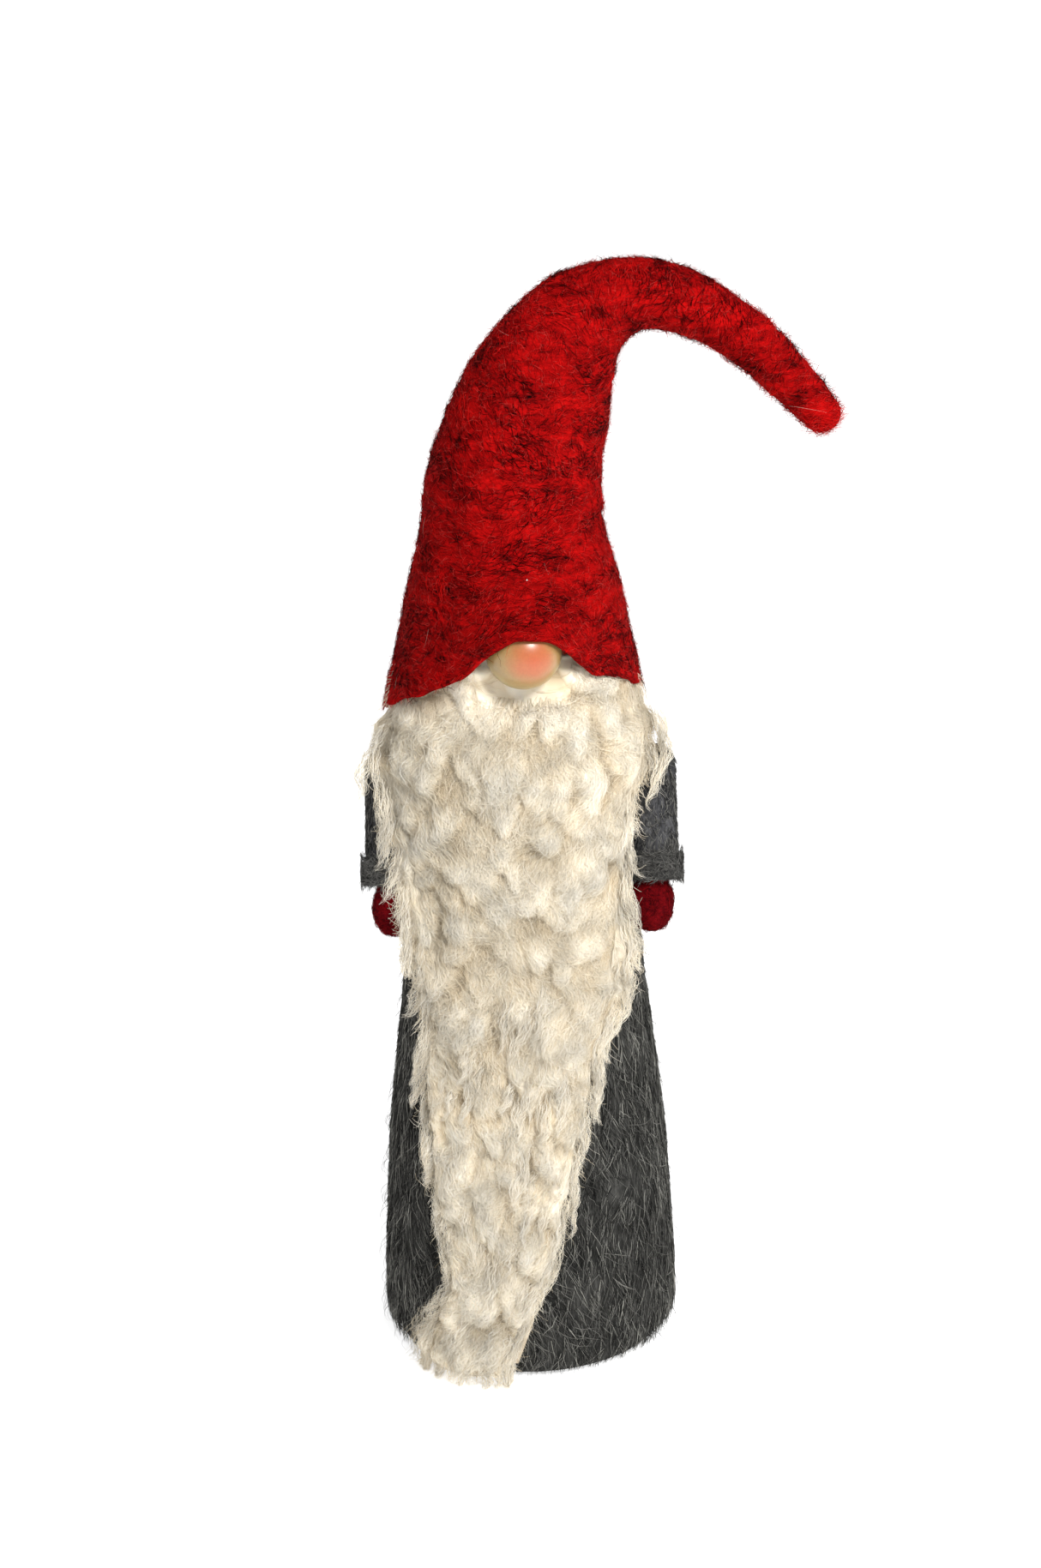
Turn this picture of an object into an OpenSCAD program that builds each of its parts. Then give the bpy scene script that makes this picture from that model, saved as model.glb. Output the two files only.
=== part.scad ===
// Tall felt gnome figurine that stands on a flat weighted base.
// Millimetres, +Z up, the nose side faces -Y, origin at the centre of the base on the floor.
// "left" and "right" are as seen by someone who faces the figure.

/* [Body] */
// Height of the stuffed body, up to the crown of the head inside the hat
body_h = 450; // [380:1:540]
// Widest radius of the coat, just above the floor
base_r = 82.3; // [70:0.1:100]
// Thickness of the coat cloth
coat_t = 3; // [2:0.1:4]
// Radius of the round cloth that closes the bottom
base_cloth_r = 65.7; // [55:0.1:70]
// Thickness of the bottom cloth
base_cloth_t = 2; // [1:0.1:3]
// Thickness of the stiff board above the bottom cloth
board_t = 3; // [2:0.1:5]
// Height of the bag of sand
sandbag_h = 24; // [15:1:40]
// Thickness of the sand bag's cotton
sandbag_t = 0.8; // [0.5:0.1:1.5]

/* [Nose] */
// Radius of the nose ball
nose_r = 19.5; // [15:0.1:24]
// Height of the nose above the brim's side edge
nose_up = 38; // [30:1:46]
// Sideways place of the nose
nose_x = 3; // [-5:0.5:5]
// Radius of the nose peg
peg_r = 2; // [1.5:0.1:3]
// Length of the nose peg
peg_l = 34; // [20:1:50]

/* [Hat] */
// Height of the hat from the brim's side edge to its highest point
hat_h = 228; // [190:1:280]
// Outside radius of the brim at the sides
brim_r = 69.5; // [60:0.1:85]
// Height of the brim's side edge above the floor, as a share of the body's height
brim_share = 0.827; // [0.8:0.001:0.85]
// How far the brim's front is higher than its sides
brim_rise = 26; // [10:1:40]
// How far the brim's back is lower than its sides
brim_back_drop = 7; // [0:1:20]
// How far the brim is drawn forwards over the beard
brim_fwd = 8; // [0:0.5:12]
// Thickness of the hat's felt
hat_t = 4.5; // [3:0.1:6]
// Radius of the wire in the hat
wire_r = 1; // [0.8:0.1:1.5]

/* [Beard] */
// Thickness of the fleece's hide backing
backing_t = 1.5; // [1:0.1:2.5]
// Thickness of the fleece at the bottom
fleece_low_t = 14; // [8:0.5:20]
// Extra thickness of the fleece over the shoulders
fleece_extra_t = 11; // [6:0.5:16]
// Width of the fleece at the shoulders
fleece_w = 154; // [120:1:180]
// Gap between the fleece's lower end and the floor
fleece_floor_gap = 6; // [3:1:20]
// Length of the seam that the beard hangs from
beard_seam_l = 28; // [20:1:40]

/* [Arms] */
// Radius of the sleeve at the shoulder
sleeve_r = 12; // [9:0.1:15]
// Extra radius of the sleeve at the wrist
sleeve_flare = 0.8; // [0:0.1:2]
// Length of the sleeve, from the middle of the shoulder to its open end
sleeve_l = 60; // [45:1:80]
// Thickness of the sleeve cloth
sleeve_t = 2; // [1:0.1:3]
// Thickness of the turned-back cuff
cuff_t = 1.8; // [1:0.1:3]
// Width of the turned-back cuff
cuff_w = 15; // [8:0.5:20]
// Radius of the mitten
mitten_r = 12.5; // [10:0.1:15]
// Length of the mitten's round part
mitten_l = 36; // [24:0.5:44]
// How far the arms slope forwards
arm_tilt = 18.6; // [10:0.1:30]
// Height of the shoulder, as a share of the body's height
shoulder_share = 0.738; // [0.7:0.001:0.76]
// How far the shoulder lies in front of the body's middle
shoulder_fwd = 14; // [8:0.5:20]
// Length of the seam that each arm hangs from
arm_seam_l = 8; // [6:0.5:12]

/* [Fits] */
// Gap between pieces that only touch
gap = 0.3; // [0.2:0.05:0.6]
// Gap between the arms and the coat, and round the beard
swing_gap = 1.2; // [0.8:0.1:3]
// Radius of the sewing thread
thread_r = 0.8; // [0.5:0.1:1]
// Radius of a knot at the thread's end
knot_r = 2; // [1.5:0.1:3]
// Wall of the hem round a thread that works as a hinge
hem_wall = 1.3; // [1:0.1:2]

/* [Hidden] */
$fn = 96;
eps = 0.01;

// Body: height and radius at each level, as shares of body_h and base_r.
coat_levels = [
  [0, 0.887], [0.0067, 0.948], [0.02, 0.987], [0.0444, 1], [0.1, 0.991],
  [0.1667, 0.97], [0.2667, 0.933], [0.3889, 0.857], [0.4822, 0.793], [0.5778, 0.753],
  [0.6667, 0.72], [0.7556, 0.683], [0.8222, 0.661], [0.8489, 0.635], [0.8689, 0.59],
  [0.8889, 0.545], [0.9156, 0.505], [0.9422, 0.45], [0.9644, 0.37], [0.982, 0.27],
  [0.9933, 0.15], [1, 0]
];
coat_pts = [for (s = coat_levels) [s[1] * base_r, s[0] * body_h]];

function clamp01(t) = max(0, min(1, t));
function mix(a, b, t) = a + (b - a) * t;
// Value at height z in a rising list of [height, value].
function level(rows, z) =
  z <= rows[0][0] ? rows[0][1]
  : z >= rows[len(rows) - 1][0] ? rows[len(rows) - 1][1]
  : let (i = max([for (k = [0 : len(rows) - 2]) rows[k][0] <= z ? k : 0]))
    mix(rows[i][1], rows[i + 1][1], (z - rows[i][0]) / (rows[i + 1][0] - rows[i][0]));
coat_rows = [for (p = coat_pts) [p[1], p[0]]];
function coat_r(z) = level(coat_rows, z);

// A profile moved inwards by d along its own normals.
function inset_pt(pts, i, d) =
  let (
    a = pts[max(i - 1, 0)],
    b = pts[min(i + 1, len(pts) - 1)],
    t = (b - a) / norm(b - a)
  )
  [max(0, pts[i][0] - d * t[1]), pts[i][1] + d * t[0]];
coat_last = len(coat_pts) - 1;
function coat_inset(d) = [
  for (i = [1 : coat_last]) i == coat_last ? [0, body_h - d] : inset_pt(coat_pts, i, d)
];
coat_in = coat_inset(coat_t);
// The same inset profile without what lies under height z0.
function above(pts, z0) = [for (p = pts) if (p[1] > z0) p];

board_z = base_cloth_t + gap + 0.7;
hem_fold = 3;
board_r = coat_in[0][0] - hem_fold - gap;
sandbag_z = board_z + board_t + gap;
sandbag_r = board_r - 2;
sandbag_edge = sandbag_h / 2;
stuffing_z = sandbag_z + sandbag_h + gap;

// Brim, nose and hat.
brim_z = brim_share * body_h;
nose_z = brim_z + nose_up;
nose_steps = [-80 : 10 : 80];
nose_reach = max([for (a = nose_steps) coat_r(nose_z + nose_r * sin(a)) + nose_r * cos(a)]);
nose_y = -(nose_reach + swing_gap);
peg_back_y = nose_y + nose_r * 0.5;

hat_k = hat_h / 228;
hat_kr = brim_r / 69.5;
hat_cx = -1.5;
join_up = 98;
// Lower cone: radius at each height above the side edge of the brim.
cone_rows = [
  for (s = [[-10, 71.5], [0, 69.5], [23, 64], [41, 60], [60, 56], [78, 51], [98, 47.6]])
    [brim_z + s[0] * hat_k, s[1] * hat_kr]
];
// Upper part: sideways place, height above the brim and radius along the bent middle line.
bend_pts = [
  for (s = [
    [-1.5, 98, 47.6], [0, 115, 46], [4, 132, 43.5], [9.5, 149, 41], [16, 165, 38],
    [24, 180.5, 33], [33.5, 194, 28.5], [45, 203, 24], [58, 208, 20.5], [73, 209, 18],
    [90, 204.5, 16.4], [107, 196, 15], [123, 184.5, 13.8], [138, 170.5, 12.6],
    [152, 156, 11.6], [161, 146, 11]
  ]) [s[0] * hat_k, brim_z + s[1] * hat_k, s[2] * hat_kr]
];
bend_last = len(bend_pts) - 1;
crook_from = 5.4;
crook_to = 7.9;
crook_slot = 0.04;
pivot_at = 6.6;
wire_end_at = 14;

function spline(a, b, c, d, t) =
  0.5 * (2 * b + (c - a) * t + (2 * a - 5 * b + 4 * c - d) * t * t
  + (3 * b - 3 * c + d - a) * t * t * t);
function bend(u) =
  let (i = max(0, min(bend_last - 1, floor(u))))
  spline(bend_pts[max(i - 1, 0)], bend_pts[i], bend_pts[i + 1],
    bend_pts[min(i + 2, bend_last)], u - i);
function bend_dir(u) =
  let (
    a = bend(max(0, u - 0.1)),
    b = bend(min(bend_last, u + 0.1))
  )
  u < 0.3 ? 90 : atan2(b[1] - a[1], b[0] - a[0]);

hat_seg = 48;
// A round ring across the bent middle line at u; push moves it along the line.
function bend_ring(u, r, push = 0) =
  let (
    c = bend(u),
    a = bend_dir(u)
  )
  [for (j = [0 : hat_seg - 1])
    let (f = 360 * j / hat_seg)
    [c[0] + r * cos(f) * sin(a) + push * cos(a), r * sin(f),
      c[1] - r * cos(f) * cos(a) + push * sin(a)]];
function felt_ring(u, inset) = bend_ring(u, bend(u)[2] - inset);

// Angle away from the front and from the nose, and the brim's edge at that angle.
function turn(f, from) = let (d = abs(f - from)) min(d, 360 - d);
function off_front(f) = turn(f, 270);
nose_f = 270 + atan2(nose_x - hat_cx, -nose_y - brim_fwd);
function off_nose(f) = turn(f, nose_f);
nose_arch = nose_up + 0.56 * nose_r - brim_rise;
arch_w = 15;
function brim_edge(f) =
  let (a = off_front(f))
  brim_z + brim_rise * max(0, cos(a)) + nose_arch * exp(-pow(off_nose(f) / arch_w, 2))
    - brim_back_drop * max(0, -cos(a));
join_z = brim_z + join_up * hat_k;
// The brim's rings move back to the middle line as they rise.
function ring_fwd(z) = brim_fwd * clamp01((join_z - z) / (join_z - brim_z));
// The felt bulges where it is drawn over the nose, and lies closer at the back.
drape = nose_r + hat_t + 1.5;
function nose_away(z) = -nose_y - ring_fwd(z);
bulge_w = asin(min(0.9, drape / nose_away(nose_z)));
bulge_h = 1.15 * drape;
function bulge(f, z, base) =
  max(0, nose_away(z) + drape - base) * exp(-pow(off_nose(f) / bulge_w, 2))
    * exp(-pow(max(0, z - nose_z) / bulge_h, 2));
function over_nose(f, z) =
  let (
    a = off_nose(f),
    dz = z - nose_z,
    away = nose_away(z),
    q = drape * drape - dz * dz - pow(away * sin(a), 2)
  )
  (a < 80 && q > 0) ? away * cos(a) + sqrt(q) : 0;
back_fit = max(0, brim_r - brim_fwd - (coat_r(brim_z) + hat_t + swing_gap));
back_fade = 60 * hat_k;
function cone_r(f, z) =
  let (
    tight = back_fit * pow(max(0, -cos(off_front(f))), 2),
    base = level(cone_rows, z) - tight * clamp01(1 - (z - brim_z) / back_fade)
  )
  max(base + bulge(f, z, base), over_nose(f, z));
cone_n = 12;
function cone_ring(k, inset, low = 0) = [
  for (j = [0 : hat_seg - 1])
    let (
      f = 360 * j / hat_seg,
      z0 = max(brim_edge(f), low),
      z = mix(z0, join_z, k / cone_n),
      r = cone_r(f, z) - inset
    )
    [hat_cx + r * cos(f), r * sin(f) - ring_fwd(z), z]
];

crown_us = [for (i = [1 : 11]) crook_from * i / 11];
crook_us = [for (i = [0 : 6]) mix(crook_from + crook_slot, crook_to - crook_slot, i / 6)];
tip_us = [for (i = [0 : 16]) mix(crook_to, bend_last, i / 16)];
wire_crown_us = [for (i = [0 : 8]) mix(0.1, crook_from, i / 8)];
wire_tip_us = [for (i = [0 : 12]) mix(crook_to, wire_end_at, i / 12)];
end_angles = [15 : 15 : 75];
end_cap_angle = 84;

function flip(list) = [for (i = [len(list) - 1 : -1 : 0]) list[i]];
function tip_end(inset) =
  let (r = bend(bend_last)[2] - inset)
  [
    for (a = end_angles) bend_ring(bend_last, r * cos(a), r * sin(a)),
    bend_ring(bend_last, r * cos(end_cap_angle), r * sin(end_cap_angle))
  ];

// A solid through a row of rings: closed by a cap at each end, or joined end to end.
module ring_solid(rings, looped = false) {
  n = len(rings[0]);
  m = len(rings);
  last = looped ? m - 1 : m - 2;
  points = [for (ring = rings) for (p = ring) p];
  sides = [
    for (i = [0 : last])
      for (j = [0 : n - 1])
        let (
          k = (i + 1) % m,
          j2 = (j + 1) % n
        )
        each [[i * n + j, k * n + j, k * n + j2], [i * n + j, k * n + j2, i * n + j2]]
  ];
  caps = looped ? [] : [
    [for (j = [0 : n - 1]) j],
    [for (j = [n - 1 : -1 : 0]) (m - 1) * n + j]
  ];
  polyhedron(points = points, faces = concat(sides, caps), convexity = 8);
}

// Arms.
shoulder_z = shoulder_share * body_h;
cuff_r = sleeve_r + sleeve_flare + gap + cuff_t;
// Place of a point of the arm that lies d below the shoulder along the arm.
function arm_pt_y(d) = -shoulder_fwd - d * sin(arm_tilt);
function arm_pt_z(d) = shoulder_z - d * cos(arm_tilt);
// Sideways place at which a ball of radius r there just clears the coat.
function clear_x(d, r) =
  sqrt(max(0, pow(coat_r(arm_pt_z(d) - 2) + r + swing_gap, 2) - pow(arm_pt_y(d), 2)));
arm_x = max(clear_x(0, sleeve_r), clear_x(sleeve_l - cuff_w, cuff_r), clear_x(sleeve_l, cuff_r));
hem_r = thread_r + gap + hem_wall;
hem_up = 9.5;
hem_z = shoulder_z + hem_up;
function coat_x(y, z) = sqrt(pow(coat_r(z), 2) - y * y);
hem_x = coat_x(-shoulder_fwd + arm_seam_l / 2, hem_z - hem_r) + hem_r + swing_gap;
// The thread is drawn thinner where it goes through the coat.
leg_share = 0.85;
leg_off = arm_seam_l / 2 + thread_r + gap;
mitten_y_scale = 0.92;
stem_r = sleeve_r - sleeve_t - 1;
stem_l = 14;
mitten_in = 2.5;
mitten_top = sleeve_l - 4;

// Beard.
fleece_gap = gap + backing_t + gap;
beard_hem_z = brim_z + 14;
beard_hem_y = -(coat_r(beard_hem_z - hem_r) + hem_r + gap + 0.4);
beard_leg = beard_seam_l / 2 + thread_r + gap;
lift_steps = [0 : 10 : 30];
fleece_top_z = nose_z - nose_r + 1;
lobe_z = brim_z - 20;
side_cut_y = -34;
fleece_rows = [
  [0, fleece_low_t], [0.7 * lobe_z, fleece_low_t + 4], [lobe_z - 40, fleece_low_t + 6],
  [lobe_z - 8, fleece_low_t + fleece_extra_t], [lobe_z + 10, fleece_low_t + fleece_extra_t],
  [fleece_top_z - 4, fleece_low_t - 2], [fleece_top_z, fleece_low_t - 6]
];
// Front outline: sideways place as a share of the width, height as a share of the top.
fleece_right = [
  [0.04, 1], [0.2, 0.99], [0.33, 0.975], [0.4, 0.945], [0.47, 0.93], [0.5, 0.915], [0.5, 0.89],
  [0.45, 0.87], [0.345, 0.82], [0.34, 0.76], [0.34, 0.64], [0.335, 0.56], [0.25, 0.49],
  [0.2, 0.41], [0.135, 0.29], [0.055, 0.16], [-0.03, 0.07], [-0.09, 0]
];
fleece_left = [
  [-0.33, 0], [-0.37, 0.065], [-0.3, 0.15], [-0.3, 0.23], [-0.33, 0.29], [-0.34, 0.4],
  [-0.33, 0.49], [-0.33, 0.58], [-0.34, 0.64], [-0.34, 0.76], [-0.345, 0.82], [-0.45, 0.87],
  [-0.5, 0.89], [-0.5, 0.915], [-0.45, 0.93], [-0.38, 0.945], [-0.3, 0.975], [-0.15, 0.99]
];
function fleece_pt(s, grow) = [
  s[0] * fleece_w + sign(s[0]) * grow,
  mix(fleece_floor_gap - grow, fleece_top_z + grow, s[1])
];
backing_in = -6;
tongue_drop = 9;
tongue_t = 6;

// ---------- Base and body ----------

module base_cloth() {
  color([0.2, 0.2, 0.21]) cylinder(r = base_cloth_r, h = base_cloth_t);
}

module base_board() {
  color([0.62, 0.5, 0.36]) translate([0, 0, board_z]) cylinder(r = board_r, h = board_t);
}

stitch_n = 36;
stitch_r = 0.5;
module base_stitches() {
  color([0.12, 0.12, 0.12])
    for (i = [0 : stitch_n - 1])
      rotate([0, 0, 360 * i / stitch_n])
        translate([base_cloth_r - 2.5, 0, stitch_r + 0.4])
          rotate([0, 90, 0]) cylinder(r = stitch_r, h = 5, $fn = 24);
}

module pillow(r, h, edge) {
  rotate_extrude() {
    square([r - edge, h]);
    intersection() {
      translate([r - edge, h / 2]) circle(r = edge);
      square([r, h]);
    }
  }
}

module sand_bag() {
  color([0.8, 0.76, 0.68])
    translate([0, 0, sandbag_z])
      difference() {
        pillow(sandbag_r, sandbag_h, sandbag_edge);
        translate([0, 0, sandbag_t])
          pillow(sandbag_r - sandbag_t, sandbag_h - 2 * sandbag_t, sandbag_edge - sandbag_t);
      }
}

module sand_fill() {
  inset = sandbag_t + gap;
  color([0.72, 0.62, 0.45])
    translate([0, 0, sandbag_z + inset])
      pillow(sandbag_r - inset, sandbag_h - 2 * inset, sandbag_edge - inset);
}

module body_stuffing() {
  pts = above(coat_inset(coat_t + gap), stuffing_z);
  color([0.93, 0.92, 0.9])
    difference() {
      rotate_extrude()
        polygon(concat([[0, stuffing_z], [pts[0][0], stuffing_z]], pts));
      thread_room(0.4);
      peg_room(0.1);
    }
}

module coat() {
  hem_in = base_cloth_r + gap;
  color([0.25, 0.25, 0.26])
    difference() {
      rotate_extrude()
        polygon(concat(
          [[hem_in, 0]], coat_pts, flip(coat_in),
          [[coat_in[0][0] - hem_fold, coat_t], [hem_in, coat_t]]
        ));
      thread_room(gap);
      peg_room(0.1);
    }
}

// Room for the threads and their knots, and for the peg, in whatever they pass through.
module thread_room(extra) {
  for (side = [-1, 1]) arm_thread_solid(side, extra);
  beard_thread_solid(extra);
}

module peg_room(extra) {
  translate([nose_x, peg_back_y, nose_z])
    rotate([-90, 0, 0]) cylinder(r = peg_r + extra, h = peg_l + extra, $fn = 48);
}

// ---------- Nose ----------

module nose() {
  color([0.85, 0.66, 0.48])
    difference() {
      translate([nose_x, nose_y, nose_z]) sphere(r = nose_r);
      peg_room(0);
    }
}

module nose_peg() {
  color([0.7, 0.52, 0.33])
    translate([nose_x, peg_back_y + eps, nose_z])
      rotate([-90, 0, 0]) cylinder(r = peg_r, h = peg_l - 2 * eps, $fn = 48);
}

// ---------- Hat ----------

module hat_crown() {
  outer = concat(
    [for (k = [0 : cone_n]) cone_ring(k, 0)],
    [for (u = crown_us) felt_ring(u, 0)]
  );
  inner = concat(
    [for (k = [0 : cone_n]) cone_ring(k, hat_t)],
    [for (u = crown_us) felt_ring(u, hat_t)]
  );
  color([0.66, 0.05, 0.05]) ring_solid(concat(outer, flip(inner)), true);
}

stuffing_low = nose_z + nose_r + 4;
dome_n = 8;
module hat_stuffing() {
  outer = concat(
    [for (u = flip(crown_us)) felt_ring(u, hat_t + gap)],
    [for (k = [cone_n : -1 : 0]) cone_ring(k, hat_t + gap, stuffing_low)]
  );
  // the hollow over the head is a ring at each angle from its edge to its middle
  rows = [for (i = [0 : dome_n]) mix(stuffing_low, body_h - 1.5, i / dome_n)];
  dome = [
    for (z = rows)
      [for (j = [0 : hat_seg - 1])
        let (
          f = 360 * j / hat_seg,
          r = coat_r(z - 1) + 1.6
        )
        [r * cos(f), r * sin(f), z]]
  ];
  cap = [for (p = dome[dome_n]) [p[0] * 0.4, p[1] * 0.4, body_h + 1.5]];
  channel = [for (u = wire_crown_us) bend_ring(u, wire_r + gap + 0.1)];
  color([0.93, 0.92, 0.9]) ring_solid(concat(channel, outer, dome, [cap]));
}

module wire_piece(us) {
  ring_solid([for (u = us) bend_ring(u, wire_r)]);
}

module hat_wire_crown() {
  color([0.55, 0.55, 0.57]) wire_piece([for (u = wire_crown_us) u + crook_slot]);
}

module hat_crook() {
  color([0.6, 0.05, 0.05])
    ring_solid(concat(
      [for (u = crook_us) felt_ring(u, 0)],
      [for (u = flip(crook_us)) felt_ring(u, hat_t)]
    ), true);
}

module hat_wire_bend() {
  color([0.55, 0.55, 0.57])
    wire_piece([for (i = [0 : 6]) mix(crook_from + 2 * crook_slot, crook_to - 2 * crook_slot, i / 6)]);
}

module hat_tip() {
  outer = concat([for (u = tip_us) felt_ring(u, 0)], tip_end(0));
  inner = concat([for (u = tip_us) felt_ring(u, hat_t)], tip_end(hat_t));
  color([0.66, 0.05, 0.05]) ring_solid(concat(flip(inner), outer));
}

module hat_tip_core() {
  inset = hat_t + gap;
  outer = concat([for (u = tip_us) felt_ring(u, inset)], tip_end(inset));
  channel = [for (u = wire_tip_us) bend_ring(u, wire_r + gap + 0.1)];
  color([0.6, 0.1, 0.1]) ring_solid(concat(flip(channel), outer));
}

module hat_wire_tip() {
  color([0.55, 0.55, 0.57]) wire_piece([for (u = wire_tip_us) u - crook_slot]);
}

// Thread tack at angle f that goes through the felt and the coat without a hole.
tack_z = brim_z + 6;
tack_in = 0.6;
module hat_tack(f) {
  r_in = coat_r(tack_z) - coat_t + tack_in;
  reach = cone_r(f, tack_z) - hat_t / 2 + hat_cx * cos(f) - ring_fwd(tack_z) * sin(f);
  color([0.5, 0.04, 0.04])
    rotate([0, 0, f])
      translate([r_in, 0, tack_z])
        rotate([0, 90, 0]) cylinder(r = thread_r, h = reach - r_in, $fn = 24);
}

// ---------- Beard ----------

function fleece_level_r(z, t) = coat_r(max(z, coat_pts[3][1])) + t;
shell_over = 2;
shell_low = fleece_floor_gap - shell_over;
shell_high = fleece_top_z + shell_over;
// Levels of a shell: its ends, the coat's own levels and where the hem's relief starts.
relief_z = beard_hem_z - 2;
relief_t = 3;
shell_zs = concat(
  [shell_low],
  [for (p = coat_pts) if (p[1] > shell_low && p[1] < relief_z) p[1]],
  [relief_z],
  [for (p = coat_pts) if (p[1] > relief_z && p[1] < shell_high) p[1]],
  [shell_high]
);
// The inside stands further off the coat above the hinge, so that it can turn inwards.
function relief(z) = relief_t * clamp01((z - relief_z) / (fleece_top_z - relief_z));
module beard_shell(t_in, rows, relieved = 0) {
  rotate_extrude()
    polygon(concat(
      [for (z = shell_zs) [fleece_level_r(z, t_in + level(rows, z)), z]],
      [for (z = flip(shell_zs)) [fleece_level_r(z, t_in + relieved * relief(z)), z]]
    ));
}

module beard_outline(grow) {
  pts = [for (s = concat(fleece_right, fleece_left)) fleece_pt(s, grow)];
  translate([0, side_cut_y, 0])
    rotate([90, 0, 0]) linear_extrude(height = 200) polygon(pts);
}

module beard_seam(r, l) {
  translate([-l / 2, beard_hem_y, beard_hem_z])
    rotate([0, 90, 0]) cylinder(r = r, h = l, $fn = 48);
}

// The tongue under the hem, where the folded hide is sewn down to the sheet.
module beard_tongue(extra) {
  translate([
    -beard_seam_l / 2 - extra,
    beard_hem_y - hem_wall - extra,
    beard_hem_z - tongue_drop - extra
  ])
    cube([beard_seam_l + 2 * extra, hem_wall + hem_r + 2 * extra, tongue_drop + extra]);
}

module beard_backing() {
  color([0.86, 0.8, 0.7])
    difference() {
      union() {
        intersection() {
          beard_shell(gap, [[0, backing_t]]);
          beard_outline(backing_in);
        }
        intersection() {
          beard_shell(gap, [[0, tongue_t]]);
          beard_tongue(0);
        }
        beard_seam(hem_r, beard_seam_l);
      }
      beard_seam(thread_r + gap, beard_seam_l + 2);
      for (side = [-1, 1]) arm_room(side);
    }
}

module beard_fleece() {
  color([0.9, 0.86, 0.76])
    difference() {
      intersection() {
        beard_shell(fleece_gap, fleece_rows, 1);
        beard_outline(0);
      }
      beard_seam(hem_r + gap, beard_seam_l + 2 * gap);
      beard_tongue(gap);
      for (side = [-1, 1]) {
        arm_room(side);
        translate([side * beard_leg, beard_hem_y, beard_hem_z]) beard_leg_room();
      }
      for (a = lift_steps) nose_from_beard(a);
    }
}

// The seam thread stays put while the fleece turns round it, in a slot open at the top.
module beard_leg_room() {
  room = thread_r + 2;
  translate([-room, -2 * room, -2 * room]) cube([2 * room, 30, 2 * room + 20]);
}

// Where the nose stands, seen from the beard, once the beard is lifted by a degrees.
module nose_from_beard(a) {
  translate([0, beard_hem_y, beard_hem_z])
    rotate([a, 0, 0])
      translate([nose_x, nose_y - beard_hem_y, nose_z - beard_hem_z])
        sphere(r = nose_r + swing_gap);
}

module beard_thread_solid(extra) {
  y_in = -(coat_x(beard_leg, beard_hem_z) - coat_t) + knot_r + 2 * gap;
  translate([0, beard_hem_y, beard_hem_z]) {
    rotate([0, 90, 0])
      cylinder(r = thread_r + extra, h = 2 * (beard_leg + thread_r), center = true, $fn = 32);
    for (side = [-1, 1])
      translate([side * beard_leg, 0, 0]) {
        rotate([-90, 0, 0])
          cylinder(r = leg_share * thread_r + extra, h = y_in - beard_hem_y, $fn = 32);
        translate([0, y_in - beard_hem_y, 0]) sphere(r = knot_r + extra, $fn = 32);
      }
  }
}

module beard_thread() {
  color([0.85, 0.82, 0.75]) beard_thread_solid(0);
}

// ---------- Arms ----------

module arm_frame(side) {
  translate([side * arm_x, -shoulder_fwd, shoulder_z]) rotate([-arm_tilt, 0, 0]) children();
}

module arm_room(side) {
  arm_frame(side) {
    sphere(r = sleeve_r + swing_gap);
    translate([0, 0, -sleeve_l - mitten_l]) cylinder(r = cuff_r + swing_gap, h = sleeve_l + mitten_l - 12);
    translate([0, 0, -14]) cylinder(r = sleeve_r + swing_gap, h = 14);
  }
}

module arm_hem(side, r, l) {
  translate([side * hem_x, -shoulder_fwd, hem_z])
    rotate([90, 0, 0]) cylinder(r = r, h = l, center = true, $fn = 48);
}

module sleeve(side) {
  drop = atan2(hem_up, arm_x - hem_x);
  web = norm([arm_x - hem_x, hem_up]) - sleeve_r + 1;
  color([0.33, 0.33, 0.34])
    difference() {
      union() {
        arm_frame(side) {
          sphere(r = sleeve_r);
          translate([0, 0, -sleeve_l])
            cylinder(r1 = sleeve_r + sleeve_flare, r2 = sleeve_r, h = sleeve_l);
        }
        arm_hem(side, hem_r, arm_seam_l);
        translate([side * hem_x, -shoulder_fwd, hem_z])
          rotate([0, side * drop, 0])
            translate([side > 0 ? 0 : -web, -arm_seam_l / 2, -hem_r])
              cube([web, arm_seam_l, 2 * hem_r]);
      }
      arm_frame(side) {
        sphere(r = sleeve_r - sleeve_t);
        translate([0, 0, -sleeve_l - 1])
          cylinder(r1 = sleeve_r + sleeve_flare - sleeve_t, r2 = sleeve_r - sleeve_t, h = sleeve_l + 1);
      }
      arm_hem(side, thread_r + gap, arm_seam_l + 2);
    }
}

module arm_stuffing(side) {
  r = sleeve_r - sleeve_t - gap;
  l = sleeve_l - stem_l - 1;
  color([0.93, 0.92, 0.9])
    arm_frame(side) {
      sphere(r = r);
      translate([0, 0, -l]) cylinder(r = r, h = l);
    }
}

module cuff(side) {
  r_in = sleeve_r + sleeve_flare + gap;
  color([0.42, 0.42, 0.43])
    arm_frame(side)
      translate([0, 0, -sleeve_l])
        difference() {
          union() {
            cylinder(r = cuff_r, h = cuff_w);
            translate([0, 0, -1]) cylinder(r = cuff_r, h = 1 + eps);
          }
          cylinder(r = r_in, h = cuff_w + 1);
          translate([0, 0, -2]) cylinder(r = r_in - sleeve_t, h = 4);
        }
}

module mitten(side) {
  egg_z = -(mitten_top + mitten_l / 2 + 2);
  color([0.6, 0.05, 0.06])
    arm_frame(side) {
      translate([-side * mitten_in, 0, egg_z])
        scale([1, mitten_y_scale, mitten_l / 2 / mitten_r]) sphere(r = mitten_r);
      translate([0, 0, -sleeve_l - 6]) cylinder(r = stem_r, h = stem_l + 6);
    }
}

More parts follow.
